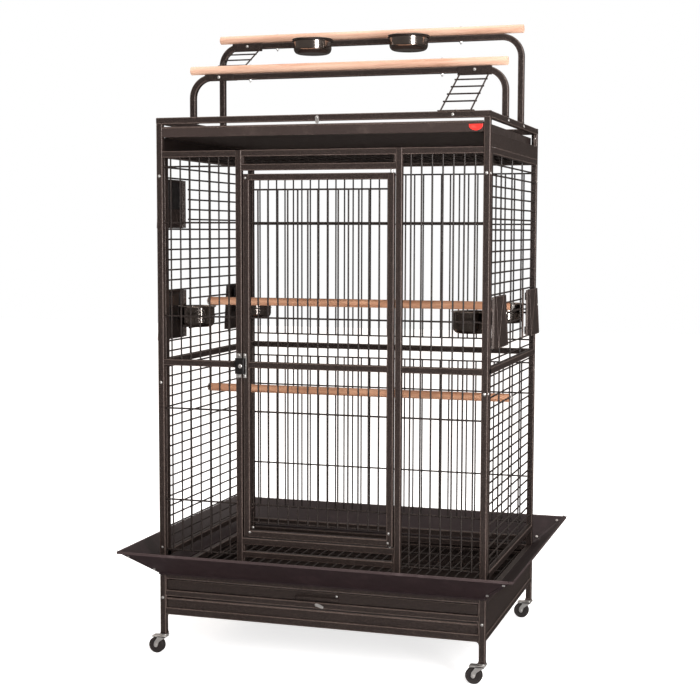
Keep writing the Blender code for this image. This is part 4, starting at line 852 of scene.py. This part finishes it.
def grate():
    """Floor grate with every bar, and its channelled front with the pull."""
    low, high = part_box("floor_grate")
    shape = Shape()
    rim = 0.008
    for y0, y1 in ((low.y, low.y + rim), (high.y - rim, high.y)):
        shape.box(low.x, high.x, y0, y1, low.z, high.z, 0.0012)
    for x0, x1 in ((low.x, low.x + rim), (high.x - rim, high.x)):
        shape.box(x0, x1, low.y, high.y, low.z, high.z, 0.0012)
    level = low.z + 0.001 + WIRE / 2
    for x in bars_around_middle(high.x - rim):
        shape.bar((x, low.y + 0.001, level + WIRE * 0.3), (x, high.y - 0.001, level + WIRE * 0.3))
    for y in (-UPRIGHT_Y * 1.5, -UPRIGHT_Y / 2, UPRIGHT_Y / 2, UPRIGHT_Y * 1.5):
        shape.bar((low.x + 0.001, y, level - WIRE * 0.2), (high.x - 0.001, y, level - WIRE * 0.2))
    shape.piece("grate_bars", "floor_grate", materials=(WIRE_PAINT, PAINT_HIGHLIGHT), body="grate")

    low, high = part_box("grate_front")
    face = -OUTER_Y + 0.005
    shape = Shape()
    shape.box(low.x, high.x, face, face + SHEET, low.z, high.z, FOLD)
    shape.box(low.x, high.x, face, high.y, low.z, low.z + SHEET, FOLD)
    shape.bar((low.x, face + 0.002, high.z - 0.0022), (high.x, face + 0.002, high.z - 0.0022), 0.0021, 10)
    shape.piece("grate_channel", "grate_front", body="grate")
    pull = Shape()
    half = PULL_HALF
    depth = face - low.y
    floor = low.z + 0.004
    outline = [(face, floor), (low.y + 0.003, floor), (low.y + 0.0008, floor + 0.0010), (low.y, floor + 0.003),
               (low.y, floor + 0.0095), (low.y + SHEET, floor + 0.0095), (low.y + SHEET, floor + 0.0035),
               (low.y + 0.0036, floor + SHEET), (face, floor + SHEET)]
    ends = []
    for x, shrink in ((-half, 0.3), (-half + depth * 0.6, 1), (half - depth * 0.6, 1), (half, 0.3)):
        ends.append([(x, face - (face - y) * shrink, z) for y, z in outline])
    pull.loft(ends)
    pull.piece("grate_pull", body="grate")
    stud = Shape()
    stud.bolt((0.060, face - 0.0002, high.z - 0.009), (0, -1, 0), 0.0030)
    stud.zinc("grate_stud", body="grate")


def litter_tray():
    """Sheet tray with a rolled lip along its front, the lip drawn in painted highlight."""
    low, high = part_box("bottom_tray")
    shape = Shape()
    face = low.y + 0.003
    shape.box(low.x, high.x, face, high.y, low.z, low.z + SHEET, FOLD, 0)
    shape.box(low.x, high.x, face, face + SHEET, low.z, high.z - 0.002, FOLD)
    shape.box(low.x, high.x, high.y - SHEET, high.y, low.z, high.z - 0.004, FOLD)
    for x0, x1 in ((low.x, low.x + SHEET), (high.x - SHEET, high.x)):
        shape.box(x0, x1, face, high.y, low.z, high.z - 0.004, FOLD)
    lip = high.z - 0.0032
    # The rolled lip is a fold in the painted-highlight coat.
    shape.fold((low.x, face, lip), (high.x, face, lip), 0.0030, 14)
    shape.piece("litter_tray", "bottom_tray", body="bottom_tray")


def turn_tabs():
    """The stand's turn tab and the roof's clip, each on its screw."""
    tab = arc(0.0058, pi / 2, pi, 8, 0.0050)
    tab += [(0.012, -0.0085), (0.0185, -0.0098), (0.0208, -0.0075), (0.0206, -0.003), (0.010, 0.002)]
    turn_tab("tray_lock_tab", "drawer_latch", 0.005, tab)
    low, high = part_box("tray_clip")
    foot = low.z - (high.z - 0.006)
    clip = arc(0.0058, 0, pi, 8)
    clip += [(-0.0052, foot + 0.004), (-0.0030, foot), (0.0030, foot), (0.0052, foot + 0.004)]
    turn_tab("roof_clip_tab", "tray_clip", 0.006, clip)


def turn_tab(name, node, drop, outline):
    """A stamped tab, its outline given round its screw."""
    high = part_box(node)[1]
    pivot_z, front = high.z - drop, high.y - 0.0018
    shape = Shape().plate([(x, pivot_z + z) for x, z in outline], high.y, front)
    shape.bolt((0, front, pivot_z), (0, -1, 0), 0.0032)
    shape.zinc(name, node, node)


def casters():
    for end in ("front", "rear"):
        for hand in ("left", "right"):
            key = f"{end}_{hand}"
            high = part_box(f"caster_fork_{key}")[1]
            wheel_low, wheel_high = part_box(f"caster_wheel_{key}")
            hub = (wheel_low + wheel_high) / 2
            stem = Vector((hub.x + CASTER_TRAIL, hub.y, 0))
            caster_fork(key, stem, hub, high)
            caster_wheel(key, hub, wheel_high.z - hub.z, (wheel_high.y - wheel_low.y) / 2)


def caster_fork(key, stem, hub, high):
    """Flange, ball race and pressed yoke, with an axle and its nuts."""
    shape = Shape()
    top = high.z
    race = ((0, 0), (0.0085, 0), (0.0142, 0.0004), (0.0145, 0.0014), (0.0142, 0.0028), (0.0105, 0.0034),
            (0.0100, 0.0050), (0.0118, 0.0060), (0.0112, 0.0080), (0, 0.0080))
    shape.lathe([(radius, top - drop) for radius, drop in race], (stem.x, stem.y, 0))
    cheek_out = high.y - hub.y - 0.0016
    cheek_in = cheek_out - SHEET
    crown = top - 0.0060
    bend = [(hub.x + 0.010 - a, crown - 0.0012 + b) for a, b in arc(0.0225, 0, pi, 12, 0.0012)]
    rings = []
    for y, drop in ((-cheek_out, 0.0016), (-cheek_out + 0.0016, 0), (cheek_out - 0.0016, 0), (cheek_out, 0.0016)):
        ring = [(x, stem.y + y, z - drop) for x, z in bend]
        rings.append(ring + [(x, stem.y + y, crown - 0.0045) for x, z in reversed(bend)])
    shape.loft(rings)
    for side in SIDES:
        outline = [(hub.x + a, hub.z + b) for a, b in arc(0.0062, pi, pi, 8)]
        outline += [(hub.x + 0.0095, hub.z + 0.010), (hub.x + 0.020, hub.z + 0.018)]
        outline += [(hub.x + a, crown - b) for a, b in ((0.031, 0.006), (0.0322, 0.0015), (0.0060, 0.0015),
                                                        (0.0040, 0.008))]
        outline.append((hub.x - 0.0050, hub.z + 0.010))
        face = stem.y + side * cheek_out
        shape.plate(outline, stem.y + side * cheek_in, face)
        shape.nut((hub.x, face, hub.z), (0, side, 0), 0.0046, 0.0015)
    shape.bar((hub.x, stem.y - cheek_out, hub.z), (hub.x, stem.y + cheek_out, hub.z), 0.0029, 14)
    shape.zinc(f"caster_yoke_{key}", f"caster_fork_{key}", body=f"caster_fork_{key}")


def caster_wheel(key, hub, radius, half):
    """Wheel with a raised hub, a dished web and a round-shouldered tread."""
    turn = Matrix.Rotation(pi / 2, 3, "X")
    body = Shape()
    web = ((0.0034, 0.0004), (0.0080, 0.0004), (0.0088, 0.0014), (0.0094, 0.0034), (0.0160, 0.0034),
           (0.0182, 0.0010), (0.0204, 0.0006))
    half_profile = [(reach, half - drop) for reach, drop in web]
    profile = half_profile + [(r, -h) for r, h in reversed(half_profile)]
    body.lathe(profile, hub, turn, 40)
    node = f"caster_wheel_{key}"
    body.piece(f"wheel_web_{key}", node, (WHEEL,), node, "wheel_plastic")
    tread = Shape()
    outline = [(0.0200, half - 0.0008), (radius - 0.0026, half - 0.0004)]
    outline += [(radius - 0.0026 + a, half - 0.0030 + b) for b, a in arc(0.0026, 0, pi / 2, 5, first=1)[:4]]
    outline += [(radius, half - 0.0034)]
    outline = outline + [(r, -h) for r, h in reversed(outline)]
    tread.lathe(outline, hub, turn, 48)
    tread.piece(f"wheel_tread_{key}", None, (TREAD,), node, "wheel_plastic")


def skirt():
    """Four mitred sheets with a folded lip in painted highlight, and a bolted strip over each corner."""
    low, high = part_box("skirt_front")
    reach = -OUTER_Y - low.y
    top = high.z
    foot = low.z + 0.0019
    slope = atan2(top - foot, reach)
    outer = [(2 * GAP, BASE_TOP - 0.003), (2 * GAP, foot), (reach - 0.0040, top - 0.0032),
             (reach - 0.0022, top - 0.0010), (reach - 0.0008, top - 0.0003), (reach, top - 0.0014),
             (reach, top - SKIRT_LIP)]
    inner = [(reach - SHEET, top - SKIRT_LIP), (reach - SHEET, top - 0.0030), (reach - 0.0042, top - 0.0050),
             (2 * GAP + SHEET, foot - SHEET / cos(slope) + SHEET * tan(slope)),
             (2 * GAP + SHEET, BASE_TOP - 0.003)]
    section = outer + inner
    # The lip's faces take slot 1, the painted highlight.
    marks = [0, 0, 1, 1, 1, 1, 1, 1, 0, 0, 0, 0]
    sides = (("front", OUTER_X, OUTER_Y, 0), ("right", OUTER_Y, OUTER_X, 1),
             ("back", OUTER_X, OUTER_Y, 2), ("left", OUTER_Y, OUTER_X, 3))
    for name, half, edge, quarter in sides:
        turn = Matrix.Rotation(quarter * pi / 2, 3, "Z")
        rings = [[turn @ Vector((end * (half + offset - GAP), -(edge + offset), z)) for offset, z in section]
                 for end in SIDES]
        shape = Shape().loft(rings, marks)
        shape.piece(f"skirt_sheet_{name}", f"skirt_{name}", materials=(SKIRT_PAINT, SKIRT_HIGHLIGHT), slot="skirt_paint")

    bolts = Shape()
    strips = Shape()
    for x_side in SIDES:
        for y_side in SIDES:
            rings = []
            for share in (0.03, 0.985):
                offset, z = reach * share, foot + (top - foot) * share + 0.0008
                if share > 0.5:
                    offset, z = reach - 0.003, top - 0.0006
                centre = Vector((x_side * (OUTER_X + offset), y_side * (OUTER_Y + offset), z))
                across = Vector((-x_side, y_side, 0)).normalized() * 0.010
                fold = Vector((0, 0, 0.0028))
                rings.append([centre - across + fold * 0.9, centre + Vector((0, 0, 0.0008)),
                              centre + across + fold * 0.9, centre + across + fold * 0.45,
                              centre - Vector((0, 0, 0.0002)), centre - across + fold * 0.45])
            strips.loft(rings)
            for share in (0.22, 0.82):
                offset = reach * share
                x, y = x_side * (OUTER_X + offset - 0.012), y_side * (OUTER_Y + offset)
                z = foot + (top - foot) * share
                normal = Vector((0, -y_side * sin(slope), cos(slope)))
                bolts.bolt((x, y, z + 0.0016), normal, 0.0036)
                bolts.nut((x, y, z - 0.0022), -normal, 0.0048, 0.0030)
    strips.piece("skirt_corner_strips", materials=(SKIRT_PAINT,), slot="skirt_paint")
    bolts.zinc("skirt_bolts")


# ---------------------------------------------------------------- roof
def ceiling():
    low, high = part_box("ceiling_grille")
    level = (low.z + high.z) / 2
    shape = Shape()
    for side in SIDES:
        shape.bar((low.x, side * (high.y - WIRE / 2), level), (high.x, side * (high.y - WIRE / 2), level))
        shape.bar((side * (high.x - WIRE / 2), low.y, level), (side * (high.x - WIRE / 2), high.y, level))
    for x in bars_around_middle(high.x - WIRE):
        shape.bar((x, low.y + 0.001, level), (x, high.y - 0.001, level))
    for y in (-UPRIGHT_Y * 1.2, 0, UPRIGHT_Y * 1.2):
        shape.bar((low.x, y, level - WIRE * 0.55), (high.x, y, level - WIRE * 0.55))
    shape.piece("ceiling_bars", "ceiling_grille", materials=(WIRE_PAINT,))


def roof_frame():
    shape = Shape()
    foot = ROOF_TOP - TUBE
    for side in SIDES:
        shape.box(-OUTER_X, OUTER_X, side * INNER_Y, side * OUTER_Y, foot, ROOF_TOP)
        shape.box(side * INNER_X, side * OUTER_X, -INNER_Y - 0.001, INNER_Y + 0.001, foot, ROOF_TOP)
    shape.piece("roof_ring", "roof_frame")
    plates = Shape()
    for side in SIDES:
        x = side * (OUTER_X - 0.006)
        plates.box(x - 0.001, x + 0.001, INNER_Y - 0.026, INNER_Y, HEADER_TOP - 0.004, ROOF_TOP - TUBE - 0.001,
                   0.0006, 2)
    # The plates are drawn in the lighter painted-highlight coat.
    plates.piece("roof_corner_plates", materials=(PAINT_HIGHLIGHT,))
    bolts = Shape()
    for side in SIDES:
        x = side * (OUTER_X - 0.005)
        for z in (HEADER_TOP + 0.012, HEADER_TOP + 0.040, HEADER_TOP + 0.066):
            bolts.bolt((x, INNER_Y - 0.013, z), (side, 0, 0), 0.0032)
    bolts.zinc("roof_corner_bolts")


def play_tray():
    low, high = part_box("play_tray")
    shape = Shape()
    face = low.y
    rim = high.z
    lip = ((0, 0.0085), (0.0012, 0.0070), (0.0014, 0.0052), (0, 0.0034), (0.0002, 0.0010), (0.0016, 0),
           (0.0058, 0), (0.0070, 0.0014), (0.0064, 0.0026), (0.0024, 0.0022), (0.0020, 0.0040),
           (0.0032, 0.0060), (SHEET, 0.0100))
    section = [(face + 0.0015, low.z), (face, low.z + 0.0016)]
    section += [(face + depth, rim - drop) for depth, drop in lip] + [(face + SHEET, low.z + SHEET)]
    # The rolled lip's faces take slot 1, the painted highlight.
    marks = [0, 0, 0, 0, 1, 1, 1, 1, 1, 0, 0, 0, 0, 0, 0, 0]
    shape.loft([[(x, y, z) for y, z in section] for x in (low.x, high.x)], marks)
    shape.box(low.x, high.x, face + 0.001, high.y, low.z, low.z + SHEET, FOLD, 0)
    shape.box(low.x, high.x, high.y - SHEET, high.y, low.z, rim - 0.003, FOLD)
    for x0, x1 in ((low.x, low.x + SHEET), (high.x - SHEET, high.x)):
        shape.box(x0, x1, face + 0.001, high.y, low.z, rim - 0.003, FOLD)
        x = (x0 + x1) / 2 + (0.0012 if x0 < 0 else -0.0012)
        shape.bar((x, face + 0.004, rim - 0.005), (x, high.y, rim - 0.005), 0.0019)
    shape.piece("play_tray_sheet", "play_tray", materials=(TRAY_PAINT, PAINT_HIGHLIGHT), body="play_tray")

    badge = Shape()
    centre_x, half, depth = BADGE_X, 0.0200, 0.0176
    top = rim - 0.0100
    curve = [(centre_x + a, top - 0.003 + b) for a, b in arc(half, pi, pi, 16, depth - 0.003, 1)[:15]]
    outline = [(centre_x - half, top), *curve, (centre_x + half, top)]
    middle_z = top - depth / 2
    rings = []
    for y, grow in ((face, 0), (face - 0.0010, 0), (face - 0.0016, 0.0010)):
        wide, tall = 1 - grow / half, 1 - 2 * grow / depth
        rings.append([(centre_x + (x - centre_x) * wide, y, middle_z + (z - middle_z) * tall) for x, z in outline])
    badge.loft(rings)
    badge.piece("tray_badge", materials=(RED,), body="play_tray", slot="latch_plastic")


def arches():
    """Bent tube, a dowel on top, and the screws that hold it."""
    for end in ("front", "rear"):
        low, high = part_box(f"arch_{end}")
        middle_y = (low.y + high.y) / 2
        bar = high.z - TUBE / 2
        path = [(-POST_X, low.z, 0.0)]
        for i, (a, b) in enumerate(arc(ARCH_BEND, 0, pi / 2, ARCH_STEPS)):
            path.append((-POST_X + ARCH_BEND - a, bar - ARCH_BEND + b, pi / 2 * i / ARCH_STEPS))
        path += [(-x, z, pi - angle) for x, z, angle in reversed(path)]
        outline = rounded_outline(TUBE / 2, TUBE / 2, ARCH_CORNER)
        rings = []
        for x, z, angle in path:
            out = Vector((-cos(angle), 0, sin(angle)))
            rings.append([Vector((x, middle_y + b, z)) + a * out for (a, b), _ in outline])
        shape = Shape().loft(rings, [mark for _, mark in outline])
        for side in SIDES:
            shape.box(side * (POST_X - 0.013), side * (POST_X + 0.0094), middle_y - 0.013, middle_y + 0.013, low.z,
                      low.z + 0.003, 0.0008, 0)
        shape.piece(f"arch_tube_{end}", f"arch_{end}")
        perch(f"roof_perch_{end}", 0.0022)
        screws = Shape()
        perch_top = span(f"roof_perch_{end}", 2)[1]
        under = high.z - TUBE
        for x in (-ARCH_SCREW_X, ARCH_SCREW_X):
            screws.bolt((x, middle_y, perch_top - 0.0012), (0, 0, 1), 0.0040)
            screws.nut((x, middle_y, under), (0, 0, -1), 0.0050, 0.0040)
            screws.bar((x, middle_y, under - 0.0085), (x, middle_y, under), 0.0022, 10)
        for side in SIDES:
            screws.bolt((side * OUTER_X - side * 0.0002, middle_y, ROOF_TOP - TUBE / 2), (side, 0, 0), 0.0040)
        screws.zinc(f"arch_screws_{end}")


def perch(name, ease, wood=WOOD):
    """Turned dowel with eased ends, a touch uneven in thickness along its length and never quite straight-grained."""
    low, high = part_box(name)
    middle = (low + high) / 2
    radius = (high.z - low.z) / 2
    sides, stations = 28, 40
    rings = []
    for i in range(stations + 1):
        x = low.x + (high.x - low.x) * i / stations
        rings.append((x, 1 - 0.012 * (0.5 + 0.5 * sin(i * 1.7 + low.z * 9))))
    eased = ((0, 1 - ease / radius), (ease * 0.3, 1 - 0.3 * ease / radius), (ease, 1))
    rings = [(low.x + step, scale) for step, scale in eased] + rings[1:-1]
    rings += [(high.x - step, scale) for step, scale in reversed(eased)]
    loops = []
    for x, scale in rings:
        loops.append([(x, middle.y + a, middle.z + b) for a, b in circle(radius * scale, sides)])
    Shape().loft(loops).piece(f"{name}_dowel", name, materials=(wood,), slot="perch_wood")


def cage_perches():
    ends = Shape()
    for name in ("cage_perch_upper", "cage_perch_lower"):
        # The perches inside the cage take the darker wood as painted shade.
        perch(name, 0.0014, WOOD_SHADED)
        low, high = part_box(name)
        middle = (low + high) / 2
        for side in SIDES:
            face = side * (POST_X + WIRE * 0.9)
            washer_and_head = [(0, 0), (0.0120, 0), (0.0120, 0.0010), (0.0046, 0.0014), (0.0046, 0.0050),
                               (0.0030, 0.0062), (0, 0.0062)]
            ends.lathe(washer_and_head, (face, middle.y, middle.z), facing((side, 0, 0)), 20)
    ends.zinc("perch_end_screws")


def ladders():
    """Round rods and rungs between a plate on the bar and a plate at the foot."""
    specs = (("ladder_right", "arch_front", True), ("ladder_left", "arch_rear", False))
    for name, arch, standing in specs:
        low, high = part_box(name)
        centre = (low.x + high.x) / 2
        half = 0.046 - LADDER_ROD
        plate_z = high.z
        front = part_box(arch)[0].y - GAP
        plate_height = 0.027
        shape = Shape()
        shape.box(low.x, high.x, front - 0.003, front, plate_z - plate_height, plate_z, 0.001, 0)
        top = Vector((0, front - 0.003, plate_z - plate_height + 0.006))
        if standing:
            foot = Vector((0, -POST_Y, low.z + 0.0042))
            shape.box(low.x, high.x, low.y, low.y + TUBE, low.z, low.z + 0.003, 0.001, 0)
        else:
            foot = Vector((0, low.y + 0.0018, low.z + TUBE / 2))
            shape.box(low.x, high.x, low.y, low.y + 0.003, low.z, low.z + TUBE, 0.001, 0)
        for side in SIDES:
            x = centre + side * half
            shape.bar((x, top.y, top.z), (x, foot.y, foot.z), LADDER_ROD, 10)
        for i in range(1, LADDER_RUNGS + 1):
            place = top.lerp(foot, i / (LADDER_RUNGS + 1)) + Vector((0, 0, LADDER_ROD * 0.9))
            shape.bar((low.x + 0.003, place.y, place.z), (high.x - 0.003, place.y, place.z), LADDER_ROD, 10)
        shape.piece(f"{name}_rods", name)
        bolts = Shape()
        bolts.bolt((centre, front - 0.003, plate_z - 0.0105), (0, -1, 0), 0.0037)
        if standing:
            bolts.bolt((centre, -POST_Y, low.z + 0.003), (0, 0, 1), 0.0036)
        else:
            arch_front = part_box("arch_front")[0].y
            clamp = Shape()
            clamp.box(low.x + 0.004, high.x - 0.004, arch_front - 0.0024, arch_front - 0.0002, low.z + 0.0004,
                      low.z + TUBE - 0.0004, 0.0008, 0)
            clamp.piece(f"{name}_clamp")
            bolts.bolt((centre, arch_front - 0.0024, low.z + TUBE / 2), (0, -1, 0), 0.0040)
        bolts.zinc(f"{name}_bolts")


def play_cups():
    for hand in ("left", "right"):
        bowl(f"play_cup_{hand}", "cage")
        low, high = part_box(f"cup_ring_{hand}")
        cup_low, cup_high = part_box(f"play_cup_{hand}")
        centre = (cup_low + cup_high) / 2
        ring_top = cup_high.z - 0.0042
        radius = (cup_high.x - cup_low.x) / 2 - 0.0026
        shape = Shape()
        bar_face, level = high.y, ring_top - 0.0022
        shape.pipe([(centre.x + a, centre.y + b, level) for a, b in circle(radius, 48)], 0.0022, 10, closed=True)
        shape.box(centre.x - 0.020, centre.x + 0.020, bar_face - 0.003, bar_face, low.z, high.z, 0.0008, 0)
        for offset in (-0.012, 0.012):
            x = centre.x + offset
            shape.bar((x, centre.y + radius - 0.001, level), (x, bar_face - 0.001, level), 0.0024)
        shape.piece(f"cup_bracket_{hand}", f"cup_ring_{hand}")


# ---------------------------------------------------------------- fasteners
def frame_bolts():
    """Bolts on posts, roof frame, legs and the door's corners."""
    upper, lower, leg = POST_BOLT_LEVELS
    post_levels = HEADER_FOOT - upper, MID_RAIL - lower
    shape = Shape()
    for x in (-POST_X, POST_X):
        for z in (*post_levels, LEG_FOOT + leg):
            for front in SIDES:
                shape.bolt((x, front * OUTER_Y, z), (0, front, 0), POST_BOLT)
        shape.bolt((x, OUTER_Y, ROOF_TOP - TUBE / 2), (0, 1, 0), 0.0040)
    shape.bolt((0.400, -OUTER_Y, ROOF_TOP - TUBE / 2), (0, -1, 0), 0.0035)
    shape.bolt((-POST_X, -OUTER_Y, CAGE_FOOT + 0.082), (0, -1, 0), 0.0028)
    for side in SIDES:
        for y in (-POST_Y, POST_Y):
            for z in post_levels:
                shape.bolt((side * OUTER_X, y, z), (side, 0, 0), 0.0036)
    shape.zinc("frame_bolts")

    low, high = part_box("main_door")
    corners = Shape()
    places = ((low.x + 0.008, high.z - 0.012), (low.x + 0.030, DOOR_FOOT + 0.030), (low.x + 0.018, DOOR_FOOT + 0.014),
              (high.x - 0.012, DOOR_FOOT + 0.038), (high.x - 0.014, DOOR_FOOT + 0.010))
    for x, z in places:
        corners.bolt((x, low.y + 0.0002, z), (0, -1, 0), 0.0030)
    corners.zinc("door_corner_screws", body="main_door")


# ---------------------------------------------------------------- setting
def plain_floor():
    mesh = bpy.data.meshes.new("floor")
    half = 14
    mesh.from_pydata([(-half, -half, 0), (half, -half, 0), (half, half, 0), (-half, half, 0)], [], [(0, 1, 2, 3)])
    look = Look("floor_white", (0.93, 0.93, 0.93, 1), 0.75, specular=0.1)
    look.colour(look.ramp(look.noise(0.8, 2), (0.3, 0.92), (0.7, 0.94)))
    look.shader.inputs["Emission Color"].default_value = (1, 1, 1, 1)
    look.shader.inputs["Emission Strength"].default_value = 0.72
    mesh.materials.append(look.material)
    floor = bpy.data.objects.new("floor", mesh)
    bpy.context.scene.collection.objects.link(floor)
    floor.visible_glossy = False


def soft_box(name, place, target, size, power, glossy=True):
    data = bpy.data.lights.new(name, "AREA")
    data.shape = "RECTANGLE"
    data.size, data.size_y = size
    data.energy = power
    lamp = bpy.data.objects.new(name, data)
    lamp.location = place
    lamp.visible_glossy = glossy
    lamp.rotation_euler = (Vector(target) - Vector(place)).to_track_quat("-Z", "Y").to_euler()
    bpy.context.scene.collection.objects.link(lamp)


def studio_world():
    """A dim room for light and reflections; the camera itself sees plain white."""
    world = bpy.data.worlds.new("white_studio")
    world.use_nodes = True
    tree = world.node_tree
    place = add_node(tree, "TexCoord").outputs["Generated"]
    split = add_node(tree, "SeparateXYZ", {"Vector": place})
    height = add_node(tree, "ValToRGB", {"Fac": split.outputs["Z"]})
    for stop, (position, value) in zip(height.color_ramp.elements, ((0.04, 0.08), (0.85, 0.85))):
        stop.position = position
        stop.color = (value, value * 0.90, value * 0.84, 1)
    room = tree.nodes["Background"]
    tree.links.new(height.outputs["Color"], room.inputs["Color"])
    white = add_node(tree, "Background", {"Color": (1, 1, 1, 1)})
    seen = add_node(tree, "LightPath").outputs["Is Camera Ray"]
    mix = add_node(tree, "MixShader", {"Fac": seen, 1: room.outputs["Background"], 2: white.outputs["Background"]})
    tree.links.new(mix.outputs["Shader"], tree.nodes["World Output"].inputs["Surface"])
    bpy.context.scene.world = world


def lighting():
    studio_world()
    soft_box("key", (3.0, -3.2, 2.3), (0, 0, 1.3), (1.1, 3.8), 230)
    soft_box("fill", (-3.2, -3.2, 2.0), (0, 0, 0.9), (1.2, 2.4), 12, glossy=False)
    soft_box("front", (1.6, -5.2, 2.6), (0, 0, 1.2), (1.4, 1.8), 48, glossy=False)
    soft_box("top", (0.2, 0.6, 4.6), (0, 0, 1.0), (2.5, 2.5), 105, glossy=False)
    bpy.context.scene.view_settings.view_transform = "Standard"


def camera():
    yaw, pitch, roll = radians(-17.39), radians(-4.77), radians(0.15)
    data = bpy.data.cameras.new("photo_view")
    data.sensor_width = 36
    data.lens = 72.96
    item = bpy.data.objects.new("photo_view", data)
    item.location = (1.325, -4.289, 1.296)
    forward = Vector((sin(yaw) * cos(pitch), cos(yaw) * cos(pitch), sin(pitch)))
    item.rotation_euler = (forward.to_track_quat("-Z", "Y").to_matrix() @ Matrix.Rotation(roll, 3, "Z")).to_euler()
    bpy.context.scene.collection.objects.link(item)
    bpy.context.scene.camera = item


# ---------------------------------------------------------------- make everything
camera()
lighting()
plain_floor()
for hand, side in HANDS:
    side_panel(hand, side)
    front_panel(hand, side)
    for name in feeder_doors(side):
        feeder(name, side)
back_panel()
door_surround()
main_door()
door_hardware()
base_sides()
base_front()
grate()
litter_tray()
turn_tabs()
casters()
skirt()
ceiling()
roof_frame()
play_tray()
arches()
cage_perches()
ladders()
play_cups()
frame_bolts()
